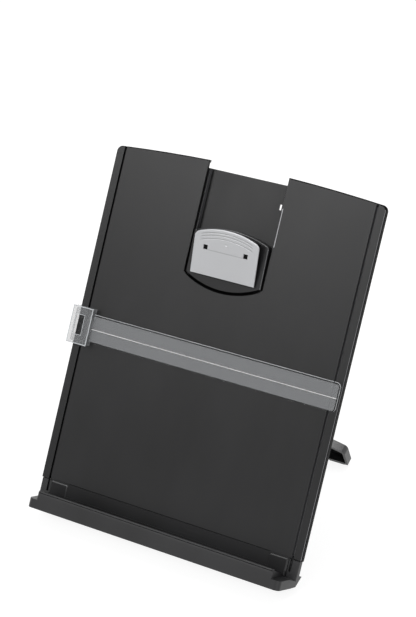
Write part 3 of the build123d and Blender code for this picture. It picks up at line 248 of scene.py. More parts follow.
def tube(path, radius, sides):
    """A round wire along a path, with domed ends.

    Each ring is the path's point plus radius times (cos, sin) across its direction; the two
    rings of a dome stand off its end by radius times sin t and shrink by cos t.
    """
    ahead = np.gradient(path, axis=0)
    ahead /= np.linalg.norm(ahead, axis=1)[:, None]
    u = np.cross(ahead, (1.0, 0, 0))
    u /= np.linalg.norm(u, axis=1)[:, None]
    w = np.cross(ahead, u)
    dome = np.linspace(0, pi / 2, 4)[1:-1]
    off = radius * np.sin(dome)[:, None]
    centre = np.concatenate([path[0] - ahead[0] * off[::-1], path, path[-1] + ahead[-1] * off])
    shrink = np.cos(dome)
    size = radius * np.concatenate([shrink[::-1], np.ones(len(path)), shrink])
    u, w = (np.pad(side, ((2, 2), (0, 0)), mode="edge") for side in (u, w))
    turn = np.linspace(0, 2 * pi, sides, endpoint=False)[None, :, None]
    rings = centre[:, None] + size[:, None, None] * (np.cos(turn) * u[:, None] + np.sin(turn) * w[:, None])
    tips = np.stack([path[0] - ahead[0] * radius, path[-1] + ahead[-1] * radius])
    count = len(centre) * sides
    ends = fan(np.arange(sides), count, flip=True), fan(np.arange(count - sides, count), count + 1)
    return np.concatenate([rings.reshape(-1, 3), tips]), [grid_quads(len(centre), sides, close=True), *ends]


BEAD_SIDES = 14
BEAD_RISE = 0.04 * MM


def bead(name, path, across, rise, body, material):
    """A low bead on the board: a flat closed oval carried along a path.

    At each point of the path the section is minus to plus across by cos t, and rises along n
    by rise times sin t above the board and a third of that below. Path and across are rows
    of (x, n, v). A path that comes back to its first point is a ring without ends.
    """
    turn = np.linspace(0, 2 * pi, BEAD_SIDES, endpoint=False)[None, :, None]
    lift = np.maximum(np.sin(turn), np.sin(turn) / 3)
    rise = np.broadcast_to(rise, len(path))[:, None, None]
    rows = path[:, None] - across[:, None] * np.cos(turn) + rise * lift * [0, 1.0, 0]
    points, faces = rows.reshape(-1, 3), [grid_quads(len(path), BEAD_SIDES, close=True)]
    count = len(points)
    if np.allclose(path[0], path[-1]):
        points = points[:-BEAD_SIDES]
        faces = [faces[0] % len(points)]
    else:
        points = np.concatenate([points, path[:1], path[-1:]])
        faces += [fan(np.arange(BEAD_SIDES), count, flip=True),
                  fan(np.arange(count - BEAD_SIDES, count), count + 1)]
    return make_piece(name, on_board(*points.T), faces, body, material)


def rows_of(x, n, v):
    """Rows of (x, n, v) in metres, from millimetres."""
    return np.stack(np.broadcast_arrays(x, n, v), -1) * MM


def arc_bead(name, radius, level, half, angles, fade, body, material):
    """A line round the bay's centre on the plane n = level, thinning out at both ends.

    Its half width and its rise are scaled by the square root of 1 - (angle / limit) ** power,
    where fade holds the limit and the power.
    """
    limit, power = fade
    taper = np.sqrt(1 - np.abs(angles / limit) ** power)
    outward = np.stack([np.sin(angles), 0 * angles, -np.cos(angles)], -1)
    path = radius * outward + [0, level, BAY_CENTRE]
    bead(name, path, outward * (half * taper)[:, None], BEAD_RISE * taper, body, material)


def screw_head(height, spokes):
    """A pan head with a cross recess, standing on the plane n = 0 and rising along n.

    Height over radius is a superellipse dome; the recess takes away a cross whose four
    wings are parallel-sided, tapering to nothing near the rim. Returns x, y, n arrays.
    """
    r = HEAD_RADIUS * np.sin(np.linspace(0, pi / 2, 22))[1:, None]
    a = np.linspace(0, 2 * pi, spokes, endpoint=False)[None, :]
    x, y = r * np.cos(a), r * np.sin(a)
    dome = height * (1 - (r / HEAD_RADIUS) ** 4) ** 0.5 + 0 * a
    wing = np.minimum(np.abs(x), np.abs(y)) / HEAD_RADIUS
    cross = (1 - step_up(wing, 0.09, 0.15)) * (1 - step_up(r / HEAD_RADIUS, 0.5, 0.66))
    return x, y, np.maximum(dome - CROSS_DEPTH * cross, 0.0)


# ---- shader groups and materials
def fill(tree, sockets, values):
    """Link or set a row of sockets; three numbers fill a colour."""
    for socket, value in zip(sockets, values):
        if isinstance(value, NodeSocket):
            tree.links.new(value, socket)
        elif isinstance(value, tuple) and len(socket.default_value) == 4:
            socket.default_value = (*value, 1.0)
        else:
            socket.default_value = value


def feed(tree, node, **values):
    """Fill a node's inputs by name, where underscores stand for spaces."""
    fill(tree, [node.inputs[label.replace("_", " ")] for label in values], values.values())
    return node


def add(tree, kind, **values):
    """A new shader node with its inputs filled by name."""
    return feed(tree, tree.nodes.new("ShaderNode" + kind), **values)


COLOUR_SOCKETS = ("Colour", "Dark", "Light", "Mark")


def shader_group(name, inputs, outputs):
    """An empty shader node group that reads a Vector and the named inputs."""
    tree = bpy.data.node_groups.new(name, "ShaderNodeTree")
    tree.interface.new_socket("Vector", in_out="INPUT", socket_type="NodeSocketVector")
    for way, labels in (("INPUT", inputs), ("OUTPUT", outputs)):
        for label in labels:
            kind = "NodeSocketColor" if label in COLOUR_SOCKETS else "NodeSocketFloat"
            tree.interface.new_socket(label, in_out=way, socket_type=kind)
    return tree, tree.nodes.new("NodeGroupInput").outputs, tree.nodes.new("NodeGroupOutput")


def noise(tree, vector, scale, detail, rough=0.5, stretch=None):
    """A noise texture on a vector, stretched by a Mapping node when asked."""
    if stretch:
        vector = add(tree, "Mapping", Vector=vector, Scale=stretch).outputs["Vector"]
    return add(tree, "TexNoise", Vector=vector, Scale=scale, Detail=detail, Roughness=rough).outputs["Fac"]


def remap(tree, value, low, high, out_low=0.0, out_high=1.0):
    """Map a value from one range to another; any limit may be a socket."""
    node = add(tree, "MapRange")
    fill(tree, node.inputs[:5], (value, low, high, out_low, out_high))
    return node.outputs[0]


def reckon(tree, kind, first, second, clamp=False):
    """A Math node; either input may be a number or a socket."""
    node = add(tree, "Math")
    node.operation = kind
    node.use_clamp = clamp
    fill(tree, node.inputs[:2], (first, second))
    return node.outputs[0]


def weighted(tree, first, share, second):
    """The first value times a share, plus the second times the rest."""
    parts = (reckon(tree, "MULTIPLY", *pair) for pair in ((first, share), (second, 1 - share)))
    return reckon(tree, "ADD", *parts)


def blend_colour(tree, factor, first, second):
    """A colour Mix node."""
    node = add(tree, "Mix")
    node.data_type = "RGBA"
    fill(tree, [node.inputs[place] for place in (0, 6, 7)], (factor, first, second))
    return node.outputs[2]


@cache
def moulded_group():
    """Spark-eroded plastic: fine grain relief, broad flow marks in tone and gloss."""
    inputs = ("Dark", "Light", "Grain", "Rough low", "Rough high")
    tree, inside, out = shader_group("Moulded plastic", inputs, ("Colour", "Roughness", "Height"))
    vector = inside["Vector"]
    grain = noise(tree, vector, inside["Grain"], 3.0, 0.62)
    flow = noise(tree, vector, 22.0, 3.0, 0.55, stretch=(1.0, 0.45, 0.45))
    patch = noise(tree, vector, 7.0, 2.0)
    broad = remap(tree, weighted(tree, flow, 0.55, patch), 0.36, 0.64)
    tone = weighted(tree, broad, 0.7, remap(tree, grain, 0.35, 0.7))
    colour = blend_colour(tree, tone, inside["Dark"], inside["Light"])
    gloss = remap(tree, flow, 0.3, 0.7, inside["Rough low"], inside["Rough high"])
    feed(tree, out, Colour=colour, Roughness=gloss, Height=grain)
    return tree


@cache
def scuff_group():
    """Hairline handling marks: long thin streaks where a stretched noise passes a limit."""
    inputs = ("Amount", "Colour", "Mark", "Roughness")
    tree, inside, out = shader_group("Handling marks", inputs, ("Colour", "Roughness"))
    vector = inside["Vector"]
    streak = remap(tree, noise(tree, vector, 150.0, 4.0, 0.6, stretch=(0.12, 1.0, 1.4)), 0.66, 0.74)
    cross = remap(tree, noise(tree, vector, 130.0, 4.0, 0.6, stretch=(1.1, 0.14, 0.2)), 0.68, 0.76)
    where = remap(tree, noise(tree, vector, 11.0, 2.0), 0.5, 0.66)
    marks = reckon(tree, "MULTIPLY", reckon(tree, "MAXIMUM", streak, cross), where)
    marks = reckon(tree, "MULTIPLY", marks, inside["Amount"], clamp=True)
    colour = blend_colour(tree, marks, inside["Colour"], inside["Mark"])
    gloss = reckon(tree, "SUBTRACT", inside["Roughness"], reckon(tree, "MULTIPLY", marks, 0.18))
    feed(tree, out, Colour=colour, Roughness=gloss)
    return tree


@cache
def metal_group():
    """Drawn or ground metal: fine lines along one axis in tone, gloss and relief."""
    inputs = ("Dark", "Light", "Rough low", "Rough high")
    tree, inside, out = shader_group("Drawn metal", inputs, ("Colour", "Roughness", "Height"))
    lines = noise(tree, inside["Vector"], 2400.0, 4.0, 0.6, stretch=(0.05, 1.0, 1.0))
    blotch = noise(tree, inside["Vector"], 240.0, 3.0)
    tone = remap(tree, weighted(tree, lines, 0.6, blotch), 0.35, 0.65)
    colour = blend_colour(tree, tone, inside["Dark"], inside["Light"])
    gloss = remap(tree, lines, 0.3, 0.7, inside["Rough low"], inside["Rough high"])
    feed(tree, out, Colour=colour, Roughness=gloss, Height=lines)
    return tree


def start_material(name):
    """A material with a Principled shader and its object coordinates."""
    material = bpy.data.materials.new(name)
    material.use_nodes = True
    tree = material.node_tree
    tree.nodes.clear()
    shader = add(tree, "BsdfPrincipled")
    add(tree, "OutputMaterial", Surface=shader.outputs["BSDF"])
    return material, tree, shader, add(tree, "TexCoord").outputs["Object"]


def place_group(tree, group, **values):
    """Place a node group, fill its inputs, and give its outputs."""
    node = add(tree, "Group")
    node.node_tree = group
    return feed(tree, node, **values).outputs


def add_bump(tree, shader, height, strength, distance):
    """Feed a height to the shader's normal; distance is the relief's depth."""
    bump = add(tree, "Bump", Strength=strength, Distance=distance, Height=height)
    feed(tree, shader, Normal=bump.outputs["Normal"])


def scaled(colour, factor):
    """A colour made lighter or darker, as three numbers."""
    return tuple(min(1.0, channel * factor) for channel in colour[:3])


def plastic(name, colour, spread=0.35, grain=2600.0, relief=0.25, rough=(0.42, 0.56), scuffs=0.25, gloss=0.3):
    """Black or grey moulded plastic with grain, flow marks and a few handling marks."""
    material, tree, shader, vector = start_material(name)
    body = place_group(tree, moulded_group(), Vector=vector, Dark=scaled(colour, 1 - spread),
                       Light=scaled(colour, 1 + spread), Grain=grain, Rough_low=rough[0], Rough_high=rough[1])
    marks = place_group(tree, scuff_group(), Vector=vector, Amount=scuffs, Colour=body["Colour"],
                        Mark=scaled(colour, 3.2), Roughness=body["Roughness"])
    feed(tree, shader, Base_Color=marks["Colour"], Roughness=marks["Roughness"], Specular_IOR_Level=gloss)
    add_bump(tree, shader, body["Height"], relief, 0.06 * MM)
    return material


def black(name, factor, **finish):
    """Moulded plastic in a lighter or darker share of the board's own black."""
    return plastic(name, scaled(bpy.context.scene.copyholder_board.black, factor), **finish)


def metal(name, dark, light, rough=(0.22, 0.38)):
    """Bare metal with fine drawn lines."""
    material, tree, shader, vector = start_material(name)
    body = place_group(tree, metal_group(), Vector=vector, Dark=dark, Light=light, Rough_low=rough[0],
                       Rough_high=rough[1])
    feed(tree, shader, Base_Color=body["Colour"], Roughness=body["Roughness"], Metallic=1.0)
    add_bump(tree, shader, body["Height"], 0.15, 0.02 * MM)
    return material


def clear_plastic(name, tint, cover, rough=0.06):
    """Thin clear plastic: each face hides a share of what lies behind it, with faint flow lines."""
    material, tree, shader, vector = start_material(name)
    body = place_group(tree, moulded_group(), Vector=vector, Dark=scaled(tint, 0.98), Light=tint, Grain=300.0,
                       Rough_low=rough * 0.8, Rough_high=rough * 1.25)
    feed(tree, shader, Base_Color=body["Colour"], Roughness=body["Roughness"], Alpha=cover, IOR=1.49)
    return material


def silver_paint(colour):
    """Satin silver paint with fine flake, with painted shade: darker where the mesh's groove shade says so.
    """
    material, tree, shader, vector = start_material("satin_silver")
    body = place_group(tree, moulded_group(), Vector=vector, Dark=scaled(colour, 0.965),
                       Light=scaled(colour, 1.03), Grain=7200.0, Rough_low=0.34, Rough_high=0.44)
    grime = add(tree, "Attribute")
    grime.attribute_name = "grime"
    # Painted shade: the paint darkens towards 0.42 of its colour where the groove shade is 1.
    shown = blend_colour(tree, grime.outputs["Fac"], body["Colour"], scaled(colour, 0.42))
    feed(tree, shader, Base_Color=shown, Roughness=body["Roughness"], Metallic=0.2)
    add_bump(tree, shader, body["Height"], 0.05, 0.02 * MM)
    return material


# ---- finishing the CAD's pieces
ROUNDING_STEPS = 3
SHARP_EDGE = radians(24.0)


def dress(node, material):
    """Give a carried-over solid its finish."""
    materials = frame["nodes"][node].data.materials
    materials.clear()
    materials.append(material)


def rounded(node, body, width, materials, share=None, strip=None):
    """A node's surface with its outer edges rounded, standing for the node.

    The copy's points are merged and its flat areas joined; each convex edge that turns more
    than SHARP_EDGE is then replaced by a strip of the given width, in a few steps of equal
    turn. Inner corners stay sharp, so nothing grows. Area-weighted normals keep the broad
    faces flat. share(x, n, v) gives the part of the width that an edge gets, and strip is
    the material on the strips.
    """
    mesh = frame["nodes"][node].data.copy()
    work = bmesh.new()
    work.from_mesh(mesh)
    bmesh.ops.remove_doubles(work, verts=work.verts, dist=0.002 * MM)
    bmesh.ops.dissolve_limit(work, angle_limit=radians(0.5), verts=work.verts, edges=work.edges)
    weight = work.edges.layers.float.new("bevel_weight_edge")
    for face in work.faces:
        face.smooth = True
    for edge in work.edges:
        turn = edge.calc_face_angle_signed(0.0) if len(edge.link_faces) == 2 else 0.0
        if turn > SHARP_EDGE:
            middle = (edge.verts[0].co + edge.verts[1].co) / 2
            edge[weight] = share(*board_place(*middle)) if share else 1.0
        edge.smooth = edge[weight] > 0 or abs(turn) < SHARP_EDGE
    work.to_mesh(mesh)
    work.free()
    if mesh.attributes.get("custom_normal"):
        mesh.attributes.remove(mesh.attributes["custom_normal"])
    mesh.materials.clear()
    for material in materials:
        mesh.materials.append(material)
    piece = new_object(f"{node}_rounded", mesh)
    rounding = piece.modifiers.new("rounding", "BEVEL")
    rounding.limit_method = "WEIGHT"
    rounding.width = width
    rounding.segments = ROUNDING_STEPS
    rounding.material = materials.index(strip) if strip else -1
    flat = piece.modifiers.new("flat faces", "WEIGHTED_NORMAL")
    flat.mode = "FACE_AREA"
    flat.weight = 60
    flat.keep_sharp = True
    bpy.context.view_layer.update()
    state = bpy.context.evaluated_depsgraph_get()
    finished = bpy.data.meshes.new_from_object(piece.evaluated_get(state), preserve_all_data_layers=True,
                                               depsgraph=state)
    piece.modifiers.clear()
    piece.data = finished
    finished.name = piece.name
    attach(piece, body)
    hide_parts(node)
    return finished


def face_places(mesh):
    """Middles and normals of all faces, each as arrays of x, n and v."""
    middle, normal = np.empty((2, len(mesh.polygons) * 3))
    mesh.polygons.foreach_get("center", middle)
    mesh.polygons.foreach_get("normal", normal)
    return board_place(*middle.reshape(-1, 3).T), board_parts(*normal.reshape(-1, 3).T)


def between(values, low, high):
    """Which values lie between two limits in millimetres."""
    return (values > low * MM) & (values < high * MM)


def paint(mesh, chosen, material):
    """Give the chosen faces another of the mesh's materials."""
    kinds = np.zeros(len(mesh.polygons), np.int32)
    mesh.polygons.foreach_get("material_index", kinds)
    kinds[chosen] = mesh.materials.find(material.name)
    mesh.polygons.foreach_set("material_index", kinds)
    mesh.update()


# ---- settings
def colour_setting(name, description, default):
    """A colour as three numbers."""
    return FloatVectorProperty(name=name, description=description, default=default, subtype="COLOR", size=3,
                               min=0, max=1)


def length_setting(name, description, default, least=0.0):
    """A fine measure of a millimetre at most."""
    return FloatProperty(name=name, description=description, default=default, subtype="DISTANCE",
                         unit="LENGTH", min=least, max=MM)


def share_setting(name, description, default):
    """A share from 0 to 1."""
    return FloatProperty(name=name, description=description, default=default, subtype="FACTOR", min=0, max=1)


class BoardSettings(PropertyGroup):
    black: colour_setting("Black", "Colour of the moulded board", (0.0110, 0.0110, 0.0116))
    edge: length_setting("Edge", "Width of the rounded outer edges", 0.4 * MM)
    grain: FloatProperty(name="Grain", description="Grains of texture per metre", default=2600.0, min=100)
    relief: share_setting("Relief", "Strength of the moulded grain", 0.28)


class ClipSettings(PropertyGroup):
    silver: colour_setting("Silver", "Paint on the clip's lever", (0.640, 0.646, 0.662))
    groove_depth: length_setting("Groove depth", "Depth of the grip grooves", 0.16 * MM)
    rim: length_setting("Rim", "Radius of the rolled thumb edge", 0.9 * MM, least=0.1 * MM)


class GuideSettings(PropertyGroup):
    clear: colour_setting("Clear", "Tint of the clear pieces", (0.915, 0.94, 0.97))
    haze: share_setting("Haze", "Share of light that each wall of the carrier stops", 0.26)
    band_haze: share_setting("Band haze", "Share of light that the blade's matt band stops", 0.265)
    edge_glint_cover: share_setting("Edge haze", "Share of light that the moulded edges stop", 0.62)


class StudioSettings(PropertyGroup):
    lens: FloatProperty(name="Lens", description="Focal length on a 36 mm tall frame", default=98.18, min=10,
                        subtype="DISTANCE_CAMERA")
    lamps: FloatProperty(name="Lamps", description="Brightness of the soft lamps beside the white room's own",
                         default=3.2, min=0)
    surround: FloatProperty(name="Surround", description="Strength of the white room", default=0.36, min=0)
    screw_spokes: IntProperty(name="Screw detail", description="Points round each screw head", default=64,
                              min=16, max=128)


# ---- pieces
class COPYHOLDER_OT_board(Operator):
    """Finish the two board shells and the arm's track"""

    bl_idname = "copyholder.board"
    bl_label = "Board"

    def execute(self, context):
        board = context.scene.copyholder_board
        # Painted shadow: a near-black for the bay's mouth, the top edge's upward faces and the line round the
        # bay's end.
        deep = black("gap_black", 0.08, **SHADOWED)
        # Painted shade: a darker black for the board's outer side walls.
        side = black("board_side_matt", 0.4, relief=0.1, rough=(0.55, 0.65), scuffs=0.2, gloss=0.1)
        # Painted highlight: a very light black for the line down the bay's right edge.
        bay_highlight = black("bay_edge_polished", 40.0, **GLEAMING)
        self.make_panel(board, deep, side)
        self.make_beads(bay_highlight, deep)
        self.make_cover(board, side)
        self.make_track()
        return {"FINISHED"}

    def make_panel(self, board, deep, side):
        """The front shell; faces are picked by place and by how far they face across, out or up."""
        face = black("front_panel_black", 1.0, grain=board.grain, relief=board.relief * 0.4,
                     rough=(0.32, 0.38))
        # Painted highlight: a lighter black on the strips of the rounded edges.
        line = black("panel_edge", 4.0, scuffs=0.1, **POLISHED)
        groove = black("groove_worn", 8.0, grain=1500.0, relief=0.1, scuffs=0.3)
        bright = black("board_rim_polished", 20.0, scuffs=0.0, **POLISHED)
        panel = rounded("front_panel", "board", board.edge,
                        [face, deep, groove, line, side, bright], strip=line)
        (x, n, v), (across, out, up) = face_places(panel)
        rim = np.abs(x) > BOARD_HALF - 1.5 * MM
        # Painted highlight on the rim's rounded edge, then painted shade on the side walls beyond it.
        paint(panel, rim & (across > 0.2), bright)
        paint(panel, rim & (across > 0.55), side)
        # Painted shade: the top edge's upward faces and the bay mouth's sloping faces get the painted shadow
        # black.
        paint(panel, (v > 302 * MM) & (n > -3 * MM) & (up > 0.15), deep)
        mouth = between(x, -37.0, 25.0) & between(n, -2.4, 1.0) & between(v, 200, 254)
        paint(panel, mouth & (out < 0.9995), deep)
        # Painted light: a lighter black for the walls of the right runner groove only.
        paint(panel, between(x, 111.15, 113.25) & between(n, -2.4, -0.2), groove)

    def make_cover(self, board, side):
        back = black("rear_cover_black", 0.95, grain=board.grain * 0.8, relief=board.relief * 1.3, scuffs=0.4)
        cover = rounded("rear_cover", "board", board.edge * 1.3, [back, side])
        (x, _, _), (across, _, _) = face_places(cover)
        # Painted shade on the rear cover's outer side walls.
        paint(cover, (np.abs(x) > BOARD_HALF - 3.0 * MM) & (np.abs(across) > 0.55), side)

    def make_track(self):
        floor = black("track_black", 0.8, grain=1400.0, relief=0.12, rough=(0.34, 0.46), scuffs=0.55)
        wall = black("track_wall_worn", 11.0, relief=0.05, rough=(0.3, 0.4), scuffs=0.2)
        track = rounded("arm_track", "board", 0.2 * MM, [floor, wall],
                        share=lambda x, n, v: 0.0)
        (_, n, _), (across, _, _) = face_places(track)
        # Painted light: the track's side walls that face across, deep in shade, are lightened.
        paint(track, (across > 0.7) & (n > -8 * MM), wall)

    def make_beads(self, bay_highlight, deep):
        """A painted highlight line down the bay's right edge and a painted shadow line round the bay's curved
        end.
        """
        v = np.linspace(253.6, 285.0, 24)
        fade = np.sqrt(1 - np.clip(np.abs(v - 269.3) / 15.75, 0, 1) ** 12)
        bead("bay_edge_bead", rows_of(36.35, 0, v), rows_of(0.35, 0, 0 * v), 0.05 * MM * fade, "board",
             bay_highlight)
        # Painted shadow line round the bay's curved end.
        sweep = np.linspace(-0.505, 0.505, 72)
        arc_bead("bay_end_line", BAY_RADIUS + 0.65 * MM, -0.01 * MM, 0.45 * MM, sweep, (0.51, 6), "board",
                 deep)


class COPYHOLDER_OT_ledge(Operator):
    """Finish the paper ledge and its rubber feet"""

    bl_idname = "copyholder.ledge"
    bl_label = "Ledge"

    def execute(self, context):
        board = context.scene.copyholder_board
        # Painted shadow: a near-black for the lip's fine groove and the line where the plate ends.
        gap = black("ledge_groove_black", 0.1, **SHADOWED)
        self.make_shelf(board, gap)
        half, above = 92.8, PLATE_TOP / MM + 0.25
        bead("plate_end_line", rows_of([-half, half], 0, above), rows_of([0, 0], 0, -0.17),
             BEAD_RISE, "board", gap)
        rubber = plastic("foot_rubber", (0.028, 0.028, 0.029), grain=5200.0, relief=0.5, rough=(0.72, 0.86),
                         scuffs=0.2)
        for node in ("base_feet", "leg_feet", "jaw_pad"):
            dress(node, rubber)
        return {"FINISHED"}

    def make_shelf(self, board, gap):
        """The ledge: its tray in painted shade, its two raised tabs with one lit corner in painted highlight,
        painted highlight on its rounded edges, and the lip's fine groove in painted shadow.
        """
        ledge = black("ledge_black", 1.6, grain=board.grain, relief=board.relief,
                      rough=(0.34, 0.46), scuffs=0.45, gloss=0.4)
        # Painted highlight: a lighter black on the rounded edge strips and the left tab's corner.
        line = black("ledge_edge", 3.6, scuffs=0.2, **POLISHED)
        deep = black("tab_black", 1.0, relief=0.1, scuffs=0.2, gloss=0.2)
        tray = black("tray_black", 1.1, relief=0.1, scuffs=0.5, gloss=0.22)
        shelf = rounded("ledge", "board", board.edge, [ledge, line, deep, tray, gap],
                        strip=line)
        (x, n, v), (across, out, up) = face_places(shelf)
        tab = between(np.abs(x), 92.0, 110.8) & between(n, 0.45, 2.2) & between(v, 1.0, 23.4)
        inside = (np.abs(x) < 110.0 * MM) & between(n, 0.1, 9.0) & between(v, 1.5, 23.4)
        # Painted shade: the tray's inner faces are darker.
        paint(shelf, inside & ~tab & (out > 0.15), tray)
        paint(shelf, tab & (out > 0.96), deep)
        corner = tab & ((across > 0.3) | (up > 0.3)) & (out > 0.3) & (out < 0.9)
        paint(shelf, corner, ledge)
        paint(shelf, corner & (x < 0), line)
        # Painted shadow in the lip's fine groove.
        paint(shelf, (n > 21.0 * MM) & between(v, 13.5, 14.2), gap)


def on_lever(x, s, rise):
    """Points of the tilted lever: s along it from the gripping edge, rise above its face."""
    n = LEVER_FOOT[0] + s * sin(LEVER_TILT) + rise * cos(LEVER_TILT)
    v = LEVER_FOOT[1] + s * cos(LEVER_TILT) - rise * sin(LEVER_TILT)
    return on_board(x, n, v)


def thumb_edge(x):
    """Height of the arched thumb edge over x: a circular arc with a small round at each corner."""
    arch = LEVER_CROWN - ARCH_RADIUS + np.sqrt(ARCH_RADIUS**2 - x**2)
    over = np.clip(np.abs(x) - (LEVER_HALF - LEVER_CORNER), 0, LEVER_CORNER)
    drop = LEVER_CORNER - np.sqrt(LEVER_CORNER**2 - over**2)
    return arch - drop * 0.86


def painted_plate_shade(x, s):
    """Painted shade on the silver face: 1 along the grip grooves and the fold line, 0 elsewhere."""
    from_arch = thumb_edge(x) - s
    ends = 1 - step_up(np.abs(x), 21.5 * MM, 24.5 * MM)
    grip = np.max([np.exp(-(((from_arch - drop) / GRIP_WIDTH) ** 2)) for drop in GRIP_DROPS], axis=0)
    fold = np.exp(-(((s - FOLD_S) / (0.3 * MM)) ** 2)) * (np.abs(x) < HOLE_X - HOLE_HALF)
    return np.clip(np.maximum(0.85 * ends * grip, 0.55 * fold), 0, 1)


def plate_relief(x, s, groove_depth, rim):
    """Relief of the silver face.

    Edges fall away as quarter circles, wide along the thumb edge and narrow elsewhere; three
    grooves follow the arch, a fold line joins the windows, and a small dimple lies above it.
    """
    from_arch = thumb_edge(x) - s
    z = np.zeros_like(x)
    for distance, radius in ((from_arch, rim), (LEVER_HALF - np.abs(x), 0.5 * MM), (s, 0.3 * MM)):
        inside = np.clip(radius - distance, 0, radius)
        z -= radius - np.sqrt(np.maximum(radius**2 - inside**2, 0))
    ends = 1 - step_up(np.abs(x), 22.0 * MM, 23.2 * MM)
    for drop in GRIP_DROPS:
        z -= groove_depth * np.exp(-(((from_arch - drop) / GRIP_WIDTH) ** 4)) * ends
    fold = np.exp(-(((s - FOLD_S) / (0.14 * MM)) ** 2))
    z -= 0.16 * MM * fold * (np.abs(x) < HOLE_X - HOLE_HALF)
    z -= 0.4 * MM * (1 - step_up(np.hypot(x, s - DIMPLE_S), 0.35 * MM, 0.85 * MM))
    return np.maximum(z, -PLATE_THICK * 0.92)


